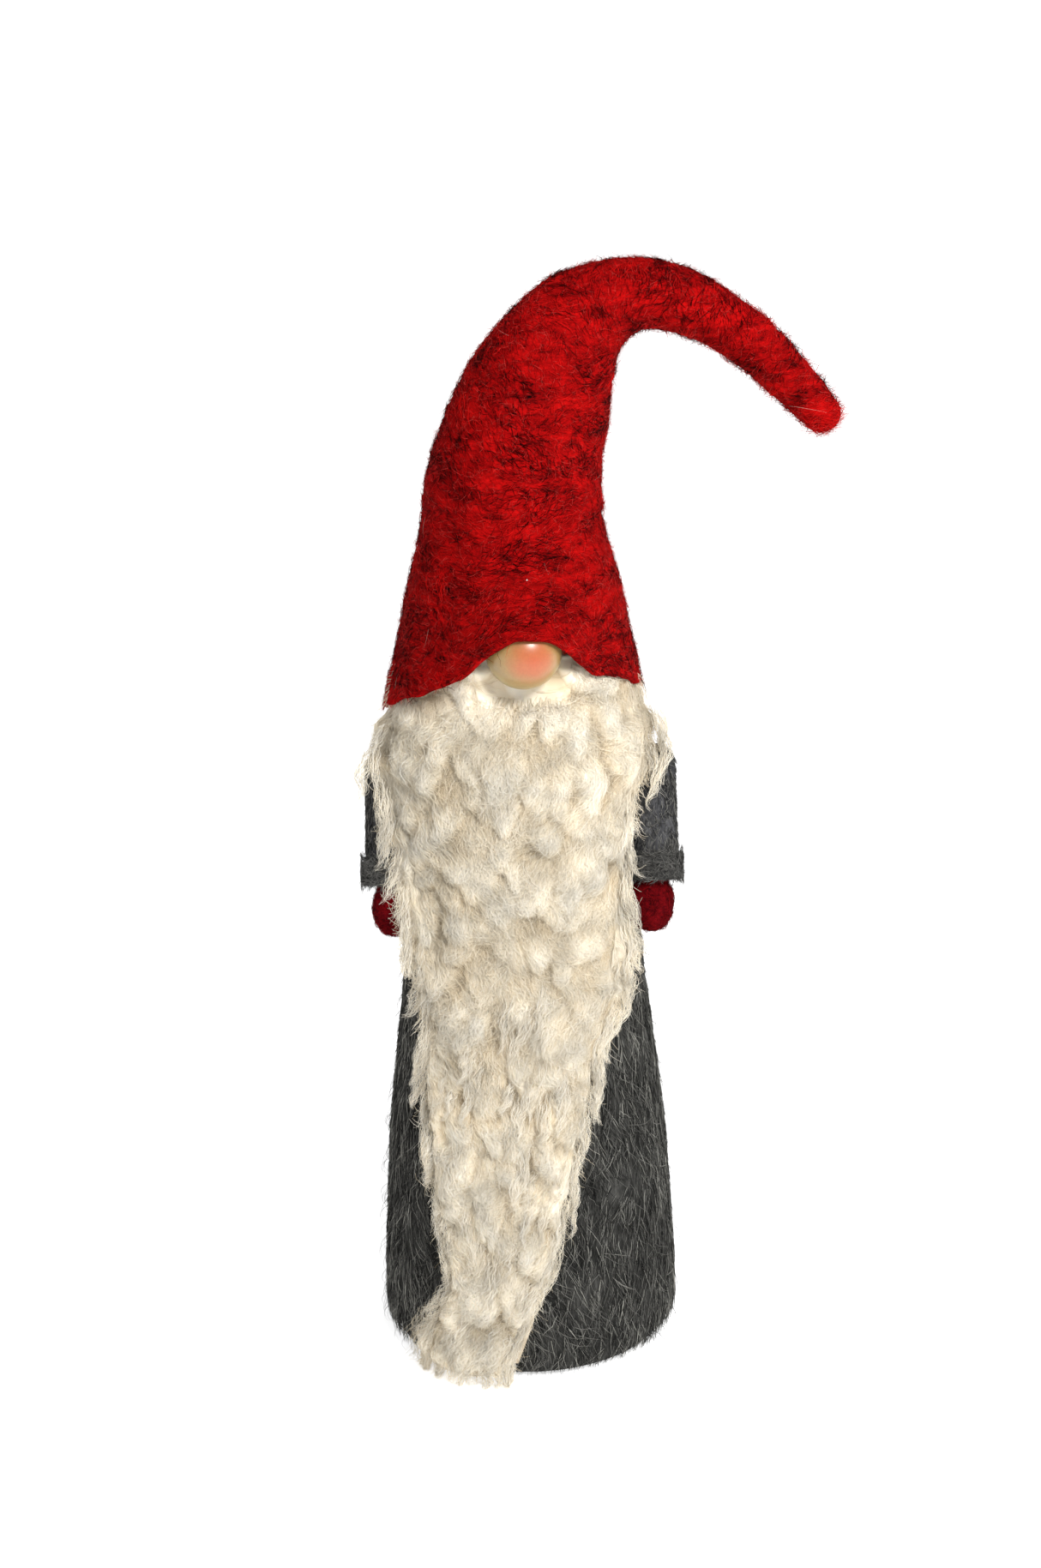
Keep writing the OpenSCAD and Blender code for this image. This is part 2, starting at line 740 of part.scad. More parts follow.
module arm_thread_solid(side, extra) {
  for (off = [-leg_off, leg_off]) {
    y = -shoulder_fwd + off;
    x_in = coat_x(y, hem_z) - coat_t - knot_r - 2 * gap;
    translate([side * hem_x, y, hem_z])
      rotate([0, -side * 90, 0])
        cylinder(r = leg_share * thread_r + extra, h = hem_x - x_in, $fn = 32);
    translate([side * x_in, y, hem_z])
      rotate([0, 0, side > 0 ? 180 : 0]) sphere(r = knot_r + extra, $fn = 32);
  }
  arm_hem(side, thread_r + extra, 2 * (leg_off + thread_r));
}

module arm_thread(side) {
  color([0.2, 0.2, 0.2]) arm_thread_solid(side, 0);
}

// ---------- Drawing ----------

base_cloth();
base_board();
base_stitches();
sand_bag();
sand_fill();
body_stuffing();
coat();
nose();
nose_peg();
hat_crown();
hat_stuffing();
hat_wire_crown();
hat_crook();
hat_wire_bend();
hat_tip();
hat_tip_core();
hat_wire_tip();
hat_tack(20);  // hat_tack_right
hat_tack(90);  // hat_tack_back
hat_tack(160);  // hat_tack_left
beard_backing();
beard_fleece();
beard_thread();
sleeve(-1);  // sleeve_left
arm_stuffing(-1);  // arm_stuffing_left
cuff(-1);  // cuff_left
mitten(-1);  // mitten_left
arm_thread(-1);  // arm_thread_left
sleeve(1);  // sleeve_right
arm_stuffing(1);  // arm_stuffing_right
cuff(1);  // cuff_right
mitten(1);  // mitten_right
arm_thread(1);  // arm_thread_right
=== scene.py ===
# Looks of a tall felt gnome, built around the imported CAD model. Metres, the nose side faces -Y.
import math

import bpy
import numpy as np
from mathutils import Matrix, Vector


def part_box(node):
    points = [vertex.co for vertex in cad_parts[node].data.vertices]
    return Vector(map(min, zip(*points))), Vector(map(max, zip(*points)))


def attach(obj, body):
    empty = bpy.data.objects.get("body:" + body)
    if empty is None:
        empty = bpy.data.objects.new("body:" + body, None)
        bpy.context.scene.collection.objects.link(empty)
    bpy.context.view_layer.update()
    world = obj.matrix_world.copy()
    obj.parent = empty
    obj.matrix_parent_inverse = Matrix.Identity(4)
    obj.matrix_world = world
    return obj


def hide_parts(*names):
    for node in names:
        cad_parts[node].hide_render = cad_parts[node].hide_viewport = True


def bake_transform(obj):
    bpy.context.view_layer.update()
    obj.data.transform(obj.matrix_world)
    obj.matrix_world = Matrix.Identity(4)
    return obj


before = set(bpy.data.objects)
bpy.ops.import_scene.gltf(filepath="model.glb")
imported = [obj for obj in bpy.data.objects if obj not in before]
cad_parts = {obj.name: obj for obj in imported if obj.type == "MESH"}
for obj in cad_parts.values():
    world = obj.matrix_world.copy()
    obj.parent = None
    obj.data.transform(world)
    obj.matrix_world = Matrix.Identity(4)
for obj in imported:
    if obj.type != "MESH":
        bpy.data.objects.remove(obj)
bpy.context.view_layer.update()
MM = 0.001
FACES_A_PIECE = 190_000
AMBIENT = 0.48
FLOOR_GLOW = 0.72
# One whole turn in radians, rounded: the random draws use it.
TURN = 6.28
rng = np.random.default_rng(20)


# ---------- Small maths ----------

def hash01(i, j, k, seed):
    h = (i * 374761393 + j * 668265263 + k * 1274126177 + seed * 974711) & 0xFFFFFFFF
    h = ((h ^ (h >> 13)) * 1274126177) & 0xFFFFFFFF
    h = ((h ^ (h >> 16)) * 2246822519) & 0xFFFFFFFF
    return ((h ^ (h >> 13)) & 0xFFFFFF) / 0xFFFFFF


def noise3(p, scale, seed=0):
    """Smooth noise from -1 to 1 at points p, with lumps of about this size."""
    q = np.asarray(p, float) / scale
    base = np.floor(q).astype(np.int64)
    f = q - base
    f = f * f * (3 - 2 * f)
    total = np.zeros(q.shape[:-1])
    for a in (0, 1):
        for b in (0, 1):
            for c in (0, 1):
                w = (
                    (f[..., 0] if a else 1 - f[..., 0])
                    * (f[..., 1] if b else 1 - f[..., 1])
                    * (f[..., 2] if c else 1 - f[..., 2])
                )
                total += w * hash01(base[..., 0] + a, base[..., 1] + b, base[..., 2] + c, seed)
    return total * 2 - 1


def fbm(p, scale, seed=0, octaves=3):
    return sum(noise3(p, scale / 2**o, seed + 7 * o) / 2**o for o in range(octaves))


def unit(v):
    return v / np.maximum(np.linalg.norm(v, axis=-1, keepdims=True), 1e-12)


def smooth(t):
    t = np.clip(t, 0, 1)
    return t * t * (3 - 2 * t)


# ---------- Meshes ----------

def mesh_object(name, verts, faces, material, shade=None, smooth_faces=True):
    faces = np.asarray(faces, np.int32)
    me = bpy.data.meshes.new(name)
    me.vertices.add(len(verts))
    me.vertices.foreach_set("co", np.asarray(verts, np.float32).ravel())
    me.loops.add(faces.size)
    me.loops.foreach_set("vertex_index", faces.ravel())
    me.polygons.add(len(faces))
    me.polygons.foreach_set("loop_start", np.arange(0, faces.size, faces.shape[1], dtype=np.int32))
    me.polygons.foreach_set("use_smooth", np.full(len(faces), smooth_faces))
    me.update(calc_edges=True)
    if shade is not None:
        layer = me.attributes.new("shade", "FLOAT", "POINT")
        layer.data.foreach_set("value", np.asarray(shade, np.float32).ravel())
    me.materials.append(material)
    obj = bpy.data.objects.new(name, me)
    bpy.context.scene.collection.objects.link(obj)
    return obj


def grid_faces(rows, cols, wrap=True):
    """Triangles of a rows x cols grid of points, joined round its columns."""
    i, j = np.meshgrid(np.arange(rows - 1), np.arange(cols if wrap else cols - 1), indexing="ij")
    j2 = (j + 1) % cols
    a, b = i * cols + j, i * cols + j2
    c, d = (i + 1) * cols + j2, (i + 1) * cols + j
    return np.concatenate([np.stack([a, b, c], -1).reshape(-1, 3), np.stack([a, c, d], -1).reshape(-1, 3)])


def fan_faces(start, cols, centre, flipped):
    j = np.arange(cols)
    a, b = start + j, start + (j + 1) % cols
    c = np.full(cols, centre)
    return np.stack([b, a, c] if flipped else [a, b, c], -1)


def tube_object(name, rings, material, shade=None):
    """A closed solid through rings of points (rows, cols, 3), with a cap at each end."""
    rows, cols = rings.shape[:2]
    verts = np.concatenate([rings.reshape(-1, 3), [rings[0].mean(0)], [rings[-1].mean(0)]])
    n = rows * cols
    faces = np.concatenate([
        grid_faces(rows, cols),
        fan_faces(0, cols, n, True),
        fan_faces(n - cols, cols, n + 1, False),
    ])
    if shade is not None:
        shade = np.concatenate([shade.ravel(), [shade[0].mean()], [shade[-1].mean()]])
    return mesh_object(name, verts, faces, material, shade)


def strand_arrays(path, radius):
    """Thin closed three-sided tubes along path (strands, points, 3) with radius (strands, points)."""
    count, k = path.shape[:2]
    t = np.empty_like(path)
    t[:, 1:-1] = path[:, 2:] - path[:, :-2]
    t[:, 0] = path[:, 1] - path[:, 0]
    t[:, -1] = path[:, -1] - path[:, -2]
    t = unit(t)
    ref = unit(rng.normal(size=(count, 1, 3)))
    n1 = unit(np.cross(t, ref))
    n2 = np.cross(t, n1)
    angle = np.array([0, 2, 4]) * math.pi / 3
    ring = (
        np.cos(angle)[None, None, :, None] * n1[:, :, None]
        + np.sin(angle)[None, None, :, None] * n2[:, :, None]
    )
    verts = path[:, :, None] + radius[:, :, None, None] * ring
    one = np.concatenate([
        grid_faces(k, 3),
        [[0, 2, 1]],
        [[3 * k - 3, 3 * k - 2, 3 * k - 1]],
    ])
    faces = (one[None] + (np.arange(count) * 3 * k)[:, None, None]).reshape(-1, 3)
    return verts.reshape(-1, 3), faces


def strand_objects(name, path, radius, shade, material):
    """Strands as mesh pieces that each stay under the face limit."""
    per_strand = (path.shape[1] - 1) * 6 + 2
    step = max(1, FACES_A_PIECE // per_strand)
    made = []
    for i, first in enumerate(range(0, len(path), step)):
        part = slice(first, first + step)
        verts, faces = strand_arrays(path[part], radius[part])
        tone = np.repeat(shade[part].ravel(), 3)
        made.append(mesh_object(f"{name}_{i + 1}", verts, faces, material, tone))
    return made


def taper(k, root=0.7, tip=0.25, belly=0.35):
    s = np.linspace(0, 1, k)
    return np.interp(s, [0, belly, 1], [root, 1, tip])


# ---------- Materials ----------

def new_material(name):
    m = bpy.data.materials.new(name)
    m.use_nodes = True
    nt = m.node_tree
    nt.nodes.clear()
    out = nt.nodes.new("ShaderNodeOutputMaterial")
    bsdf = nt.nodes.new("ShaderNodeBsdfPrincipled")
    nt.links.new(bsdf.outputs[0], out.inputs[0])
    return m, nt, bsdf


def node(nt, kind, **inputs):
    n = nt.nodes.new(kind)
    for key, value in inputs.items():
        if hasattr(n, key):
            setattr(n, key, value)
        else:
            n.inputs[key.replace("_", " ")].default_value = value
    return n


def ramp(nt, source, stops):
    r = nt.nodes.new("ShaderNodeValToRGB")
    while len(r.color_ramp.elements) < len(stops):
        r.color_ramp.elements.new(0.5)
    for e, (place, colour) in zip(r.color_ramp.elements, stops):
        e.position = place
        e.color = (*colour, 1)
    nt.links.new(source, r.inputs[0])
    return r.outputs[0]


def mixed(nt, factor, a, b, how="MIX"):
    m = nt.nodes.new("ShaderNodeMix")
    m.data_type = "RGBA"
    m.blend_type = how
    for socket, value in ((m.inputs[0], factor), (m.inputs[6], a), (m.inputs[7], b)):
        if isinstance(value, bpy.types.NodeSocket):
            nt.links.new(value, socket)
        elif isinstance(value, tuple):
            socket.default_value = (*value, 1)
        else:
            socket.default_value = value
    return m.outputs[2]


def object_noise(nt, scale, detail=3, rough=0.55, stretch=(1, 1, 1), distort=0.0):
    coord = nt.nodes.new("ShaderNodeTexCoord")
    mapping = nt.nodes.new("ShaderNodeMapping")
    mapping.inputs["Scale"].default_value = stretch
    tex = node(nt, "ShaderNodeTexNoise", Scale=scale, Detail=detail, Roughness=rough, Distortion=distort)
    nt.links.new(coord.outputs["Object"], mapping.inputs[0])
    nt.links.new(mapping.outputs[0], tex.inputs["Vector"])
    return tex.outputs["Fac"]


def bump(nt, bsdf, height, strength, distance):
    b = node(nt, "ShaderNodeBump", Strength=strength, Distance=distance)
    nt.links.new(height, b.inputs["Height"])
    nt.links.new(b.outputs[0], bsdf.inputs["Normal"])


def attribute(nt, name="shade"):
    a = nt.nodes.new("ShaderNodeAttribute")
    a.attribute_name = name
    return a.outputs["Fac"]


def fibre_material(name, stops, roughness=0.85, soft=0.0):
    """Wool fibres: colour from the shade attribute, with slow mottling along the piece."""
    m, nt, bsdf = new_material(name)
    base = ramp(nt, attribute(nt), stops)
    mottle = ramp(nt, object_noise(nt, 60, 2), [(0.3, (0.8, 0.8, 0.8)), (0.7, (1.12, 1.12, 1.12))])
    nt.links.new(mixed(nt, 1.0, base, mottle, "MULTIPLY"), bsdf.inputs["Base Color"])
    bsdf.inputs["Roughness"].default_value = roughness
    bsdf.inputs["Specular IOR Level"].default_value = 0.03
    if soft:
        bsdf.inputs["Subsurface Weight"].default_value = soft
        bsdf.inputs["Subsurface Scale"].default_value = 0.004
        bsdf.inputs["Subsurface Radius"].default_value = (1.0, 0.75, 0.5)
    return m


def felt_material(name, dark, mid, bright, scale, stretch, bump_mm=0.7):
    """Wet-felted wool: mottled colour in streaks, with a fibrous bump."""
    m, nt, bsdf = new_material(name)
    big = object_noise(nt, scale, 4, 0.65, stretch, 0.6)
    fine = object_noise(nt, scale * 6, 4, 0.7, stretch, 0.4)
    blend = nt.nodes.new("ShaderNodeMath")
    blend.operation = "MULTIPLY_ADD"
    blend.inputs[1].default_value = 0.4
    nt.links.new(fine, blend.inputs[0])
    low = nt.nodes.new("ShaderNodeMath")
    low.operation = "MULTIPLY"
    low.inputs[1].default_value = 0.6
    nt.links.new(big, low.inputs[0])
    nt.links.new(low.outputs[0], blend.inputs[2])
    colour = ramp(nt, blend.outputs[0], [(0.36, dark), (0.47, mid), (0.62, bright)])
    nt.links.new(colour, bsdf.inputs["Base Color"])
    bsdf.inputs["Roughness"].default_value = 0.92
    bsdf.inputs["Specular IOR Level"].default_value = 0.03
    bump(nt, bsdf, fine, 0.7, bump_mm * MM)
    return m


def cloth_material(name, dark, light, scale=400, bump_mm=0.3, roughness=0.9):
    """Plain woven cloth or stuffing: fine two-tone grain with a weave-sized bump."""
    m, nt, bsdf = new_material(name)
    fine = object_noise(nt, scale, 3, 0.6)
    nt.links.new(ramp(nt, fine, [(0.35, dark), (0.65, light)]), bsdf.inputs["Base Color"])
    bsdf.inputs["Roughness"].default_value = roughness
    bump(nt, bsdf, fine, 0.6, bump_mm * MM)
    return m


def nose_material():
    """Painted ball: cream-tan with a soft orange-pink blush low on its front."""
    m, nt, bsdf = new_material("nose_paint")
    coord = nt.nodes.new("ShaderNodeTexCoord")
    away = node(nt, "ShaderNodeVectorMath", operation="DISTANCE")
    away.inputs[1].default_value = tuple(NOSE_AT + NOSE_BLUSH)
    nt.links.new(coord.outputs["Object"], away.inputs[0])
    wobble = node(nt, "ShaderNodeMath", operation="MULTIPLY_ADD")
    wobble.inputs[1].default_value = 0.006
    nt.links.new(object_noise(nt, 110, 3), wobble.inputs[0])
    nt.links.new(away.outputs["Value"], wobble.inputs[2])
    scaled = node(nt, "ShaderNodeMath", operation="MULTIPLY")
    scaled.inputs[1].default_value = 1 / 0.03
    nt.links.new(wobble.outputs[0], scaled.inputs[0])
    blush = ramp(nt, scaled.outputs[0], [
        (0.1, (0.42, 0.08, 0.022)), (0.36, (0.4, 0.12, 0.04)),
        (0.6, (0.34, 0.21, 0.075)), (0.85, (0.3, 0.215, 0.08)),
    ])
    fine = object_noise(nt, 900, 2)
    speck = ramp(nt, fine, [(0.3, (0.93, 0.93, 0.93)), (0.7, (1.05, 1.05, 1.05))])
    nt.links.new(mixed(nt, 1.0, blush, speck, "MULTIPLY"), bsdf.inputs["Base Color"])
    bsdf.inputs["Roughness"].default_value = 0.34
    bsdf.inputs["Coat Weight"].default_value = 0.35
    bsdf.inputs["Coat Roughness"].default_value = 0.22
    bsdf.inputs["Subsurface Weight"].default_value = 0.12
    bsdf.inputs["Subsurface Scale"].default_value = 0.003
    bump(nt, bsdf, fine, 0.15, 0.1 * MM)
    return m


def wood_material(name, dark, light):
    m, nt, bsdf = new_material(name)
    grain = object_noise(nt, 120, 4, 0.6, (1, 8, 8), 0.5)
    nt.links.new(ramp(nt, grain, [(0.35, dark), (0.65, light)]), bsdf.inputs["Base Color"])
    bsdf.inputs["Roughness"].default_value = 0.6
    bump(nt, bsdf, grain, 0.3, 0.2 * MM)
    return m


def wire_material():
    m, nt, bsdf = new_material("wire_steel")
    fine = object_noise(nt, 700, 2)
    tone = ramp(nt, fine, [(0.3, (0.4, 0.4, 0.41)), (0.7, (0.55, 0.55, 0.56))])
    nt.links.new(tone, bsdf.inputs["Base Color"])
    bsdf.inputs["Metallic"].default_value = 1.0
    bsdf.inputs["Roughness"].default_value = 0.35
    return m


# ---------- Shape of the body, in millimetres ----------

COAT_LEVELS = np.array([
    [0, 73], [3, 78], [9, 81.2], [20, 82.3], [45, 81.6], [75, 79.8], [120, 76.8], [175, 70.5],
    [217, 65.3], [260, 62], [300, 59.3], [340, 56.2], [370, 54.4], [382, 52.3], [391, 48.6],
    [400, 44.9], [412, 41.6], [424, 37], [434, 30.5], [442, 22.2], [447, 12.3], [450, 0.5],
])


def coat_r(z):
    return np.interp(z, COAT_LEVELS[:, 0], COAT_LEVELS[:, 1])


def box_middle(name):
    low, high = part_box(name)
    return (np.array(low) + np.array(high)) / 2


NOSE_AT = box_middle("nose")
NOSE_R = (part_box("nose")[1].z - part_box("nose")[0].z) / 2
NOSE_BLUSH = np.array([0.005, -0.018, 0.0])


# ---------- Coat ----------

def body_point(f, z, out):
    """Points at angle f round the body, height z and distance out from the coat, in mm."""
    r = coat_r(z) + out
    return np.stack([r * np.cos(f), r * np.sin(f), z], -1)


def make_coat(material):
    zs = np.concatenate([[0.4, 1.2, 2.6, 5, 9, 14], np.linspace(20, 446, 150)])
    fs = np.linspace(0, 2 * math.pi, 160, endpoint=False)
    z, f = np.meshgrid(zs, fs, indexing="ij")
    p = body_point(f, z, 0)
    lumps = 0.9 * fbm(p, 26, 3) + 0.35 * noise3(p, 5, 4)
    fade = np.clip(z / 20, 0.1, 1)
    p = body_point(f, z, -0.6 + lumps * fade)
    return tube_object("coat_cloth", p * MM, material)


def fur_paths(root, normal, along, length, k, lift, curl, seed_scale=9.0):
    """Hairs from root points that lie along a direction, lift off the surface a little and waver."""
    count = len(root)
    s = np.linspace(0, 1, k)[None, :, None]
    side = unit(np.cross(normal, along))
    bend = rng.normal(0, 1, (count, 1, 1)) * curl[:, None, None]
    wave = rng.normal(0, 1, (count, 1, 1)) * curl[:, None, None] * 0.35
    phase = rng.uniform(0, TURN, (count, 1, 1))
    path = (
        root[:, None]
        + along[:, None] * (length[:, None, None] * s)
        + side[:, None]
        * (length[:, None, None] * (bend * s * s + wave * np.sin(seed_scale * s + phase) * 0.3))
        + normal[:, None] * (lift[:, None, None] * np.sin(s * 1.9) + 0.1)
    )
    return path


def coat_fur(material):
    count = 34000
    z = rng.uniform(3, 400, count)
    z = np.where(rng.random(count) < coat_r(z) / 84, z, rng.uniform(3, 250, count))
    f = rng.uniform(0, 2 * math.pi, count)
    root = body_point(f, z, -0.6)
    normal = np.stack([np.cos(f), np.sin(f), np.zeros(count)], -1)
    tangent = np.stack([-np.sin(f), np.cos(f), np.zeros(count)], -1)
    swirl = 0.4 * noise3(root, 45, 11) + 0.55 * noise3(root, 10, 12) + rng.normal(0, 0.32, count)
    down = body_point(f, z - 4, 0) - body_point(f, z + 4, 0)
    along = unit(unit(down) * np.cos(swirl)[:, None] + tangent * np.sin(swirl)[:, None])
    length = rng.uniform(8, 19, count)
    length = np.minimum(length, np.maximum(z - 0.8, 2.5))
    front = (f > math.pi * 1.25) & (f < math.pi * 1.75)
    lift = rng.uniform(0.3, 1.5, count) * np.where(front, 0.55, 1.0)
    curl = rng.uniform(0.05, 0.3, count)
    k = 5
    path = fur_paths(root, normal, along, length, k, lift, curl)
    path[..., 2] = np.maximum(path[..., 2], 0.5)
    radius = rng.uniform(0.13, 0.26, count)[:, None] * taper(k)[None]
    tone = np.clip(rng.beta(1.3, 2.3, count) + 0.16 * noise3(root, 14, 15), 0, 1)
    shade = np.repeat(tone[:, None], k, 1)
    return strand_objects("coat_hairs", path * MM, radius * MM, shade, material)


def coat_flyaways(material):
    count = 1700
    z = rng.uniform(4, 330, count)
    f = rng.uniform(0, 2 * math.pi, count)
    keep = ~((f > math.pi * 1.3) & (f < math.pi * 1.7))
    z, f = z[keep], f[keep]
    count = len(z)
    root = body_point(f, z, 0)
    normal = np.stack([np.cos(f), np.sin(f), np.zeros(count)], -1)
    tangent = np.stack([-np.sin(f), np.cos(f), np.zeros(count)], -1)
    down = np.array([0, 0, -1.0])
    k = 14
    s = np.linspace(0, 1, k)[None, :, None]
    length = rng.uniform(8, 22, count)[:, None, None]
    a = rng.normal(0, 1, (count, 1, 1))
    turns = rng.uniform(2, 7, (count, 1, 1))
    loop = rng.uniform(0.6, 2.2, (count, 1, 1))
    phase = rng.uniform(0, TURN, (count, 1, 1))
    rise = rng.uniform(1.5, 5.5, (count, 1, 1))
    path = (
        root[:, None]
        + down * length * s * 0.8
        + tangent[:, None] * (a * length * 0.35 * s + loop * np.sin(turns * s + phase) - loop * np.sin(phase))
        + normal[:, None] * (rise * np.sin(s * 2.6) + 0.5 * loop * np.cos(turns * s + phase))
    )
    path[..., 2] = np.maximum(path[..., 2], 0.4)
    radius = rng.uniform(0.07, 0.13, count)[:, None] * taper(k)[None]
    shade = np.repeat(rng.uniform(0.15, 0.7, count)[:, None], k, 1)
    return strand_objects("coat_flyaway", path * MM, radius * MM, shade, material)


# ---------- Hat ----------

BRIM_Z = 372.15
JOIN_Z = BRIM_Z + 98
HAT_T = 4.5
CONE_ROWS = np.array([[-10, 71.5], [0, 69.5], [23, 64], [41, 60], [60, 56], [78, 51], [98, 47.6]])
BEND = np.array([
    [-1.5, 98, 47.6], [0, 115, 46], [4, 132, 43.5], [9.5, 149, 41], [16, 165, 38],
    [24, 180.5, 33], [33.5, 194, 28.5], [45, 203, 24], [58, 208, 20.5], [73, 209, 18],
    [90, 204.5, 16.4], [107, 196, 15], [123, 184.5, 13.8], [138, 170.5, 12.6],
    [152, 156, 11.6], [161, 146, 11],
])
NOSE_F = math.radians(270) + math.atan2(4.5, 55.4)


def bend_at(u):
    last = len(BEND) - 1
    i = np.clip(np.floor(u).astype(int), 0, last - 1)
    t = (u - i)[:, None]
    a, b = BEND[np.maximum(i - 1, 0)], BEND[i]
    c, d = BEND[i + 1], BEND[np.minimum(i + 2, last)]
    return 0.5 * (2 * b + (c - a) * t + (2 * a - 5 * b + 4 * c - d) * t**2 + (3 * b - 3 * c + d - a) * t**3)


def angle_from(f, centre):
    d = np.abs((f - centre + math.pi) % (2 * math.pi) - math.pi)
    return np.degrees(d)


def brim_edge(f):
    a = np.radians(angle_from(f, math.radians(270)))
    tuck = np.exp(-((angle_from(f, NOSE_F) / 24) ** 2.4))
    side = 4.5 * np.cos(f)
    rag = 1.2 * noise3(np.stack([70 * np.cos(f), 70 * np.sin(f), f * 0], -1), 9, 31)
    return BRIM_Z + 26 * np.maximum(0, np.cos(a)) + 24 * tuck - 7 * np.maximum(0, -np.cos(a)) + side + rag


def cone_radius(f, z):
    base = np.interp(z - BRIM_Z, CONE_ROWS[:, 0], CONE_ROWS[:, 1])
    forward = 8 * np.clip((JOIN_Z - z) / (JOIN_Z - BRIM_Z), 0, 1)
    away = -NOSE_AT[1] / MM - forward
    drape = NOSE_R / MM + HAT_T + 1.2
    a = angle_from(f, NOSE_F)
    width = math.degrees(math.asin(min(0.9, drape / 55.4)))
    high = np.maximum(0, z - NOSE_AT[2] / MM)
    bulge = np.maximum(0, away + drape - base) * np.exp(-((a / width) ** 2)) * np.exp(-((high / 26) ** 2))
    dz = z - NOSE_AT[2] / MM
    q = drape**2 - dz**2 - (away * np.sin(np.radians(a))) ** 2
    over = np.where((a < 80) & (q > 0), away * np.cos(np.radians(a)) + np.sqrt(np.maximum(q, 0)), 0)
    r = np.maximum(base + bulge, over)
    # a small waist on the right, and the fold that arches over the nose
    waist = 1.5 * np.exp(-(((z - 470) / 16) ** 2)) * np.maximum(0, np.cos(f))
    arch_z = 446 - 0.012 * a**2
    fold = 2.0 * np.exp(-(((z - arch_z) / 3.2) ** 2)) * np.exp(-((a / 48) ** 2))
    ridge = 1.4 * np.exp(-(((z - arch_z + 7) / 5.5) ** 2)) * np.exp(-((a / 42) ** 2))
    return r - waist - fold + ridge, forward


def hat_rings(inset=0.0, cols=168):
    f = np.linspace(0, 2 * math.pi, cols, endpoint=False)
    rings = []
    low = brim_edge(f)
    for t in np.linspace(0, 1, 60):
        z = low + (JOIN_Z - low) * t
        r, forward = cone_radius(f, z)
        r = r - inset
        rings.append(np.stack([-1.5 + r * np.cos(f), r * np.sin(f) - forward, z], -1))
    us = np.linspace(0, len(BEND) - 1, 190)[1:]
    at = bend_at(us)
    ahead, behind = bend_at(np.minimum(us + 0.15, len(BEND) - 1)), bend_at(np.maximum(us - 0.15, 0))
    angle = np.arctan2(ahead[:, 1] - behind[:, 1], ahead[:, 0] - behind[:, 0])
    ease = smooth(us / 0.8)
    angle = angle * ease + math.pi / 2 * (1 - ease)
    for (x, up, r), a in zip(at, angle):
        r = r - inset
        rings.append(np.stack([
            x + r * np.cos(f) * math.sin(a), r * np.sin(f), BRIM_Z + up - r * np.cos(f) * math.cos(a)
        ], -1))
    x, up, r = at[-1]
    a = angle[-1]
    r = r - inset
    for e in np.radians([12, 24, 36, 48, 60, 70, 79, 86]):
        rr, push = r * math.cos(e), 0.92 * r * math.sin(e)
        rings.append(np.stack([
            x + rr * np.cos(f) * math.sin(a) + push * math.cos(a), rr * np.sin(f),
            BRIM_Z + up - rr * np.cos(f) * math.cos(a) + push * math.sin(a)
        ], -1))
    return np.array(rings)


def ring_normals(rings):
    du = np.gradient(rings, axis=0)
    dv = np.roll(rings, -1, 1) - np.roll(rings, 1, 1)
    return unit(np.cross(dv, du))


def hat_surface():
    rings = hat_rings()
    normal = ring_normals(rings)
    lumps = 1.0 * fbm(rings, 34, 41, 2) + 0.45 * fbm(rings * [0.6, 0.6, 1.6], 9, 43, 3)
    return rings + normal * lumps[..., None], normal


def make_hat(material):
    outer, normal = hat_surface()
    inner = hat_rings(HAT_T)[:-3]
    rows = [outer[0] - normal[0] * 1.2 + [0, 0, -0.9], outer[0] - normal[0] * 3.2 + [0, 0, -0.6]]
    rings = np.concatenate([inner[::-1], rows[::-1], outer])
    return tube_object("hat_felt", rings * MM, material)


def scatter_on(rings, normal, count):
    """Random points on a grid surface, in proportion to its area, with normal and the two directions."""
    rows, cols = rings.shape[:2]
    du = np.gradient(rings, axis=0)
    dv = (np.roll(rings, -1, 1) - np.roll(rings, 1, 1)) / 2
    area = np.linalg.norm(np.cross(du, dv), axis=-1)
    p = area.ravel() / area.sum()
    pick = rng.choice(rows * cols, count, p=p)
    i, j = pick // cols, pick % cols
    jit = rng.uniform(-0.5, 0.5, (count, 2))
    point = rings[i, j] + du[i, j] * jit[:, :1] + dv[i, j] * jit[:, 1:]
    return point, normal[i, j], unit(du[i, j]), unit(dv[i, j])


def hat_fibres(material):
    outer, normal = hat_surface()
    count = 24000
    point, n, up, around = scatter_on(outer, normal, count)
    swirl = 1.1 * noise3(point, 22, 51) + 0.8 * noise3(point, 8, 52) + rng.normal(0, 0.35, count)
    along = unit(around * np.cos(swirl)[:, None] + up * np.sin(swirl)[:, None])
    along *= np.where(rng.random(count) < 0.5, -1, 1)[:, None]
    length = rng.uniform(3.5, 10, count)
    lift = np.abs(rng.normal(0, 0.45, count)) + 0.12
    curl = rng.uniform(0.1, 0.5, count)
    k = 5
    path = fur_paths(point - n * 0.25, n, along, length, k, lift, curl)
    radius = rng.uniform(0.1, 0.2, count)[:, None] * taper(k)[None]
    streak = 0.54 + 0.6 * fbm(point * [0.6, 0.6, 1.5], 8, 53, 3) + rng.normal(0, 0.14, count)
    shade = np.repeat(np.clip(streak, 0, 1)[:, None], k, 1)
    return strand_objects("hat_fibres", path * MM, radius * MM, shade, material)


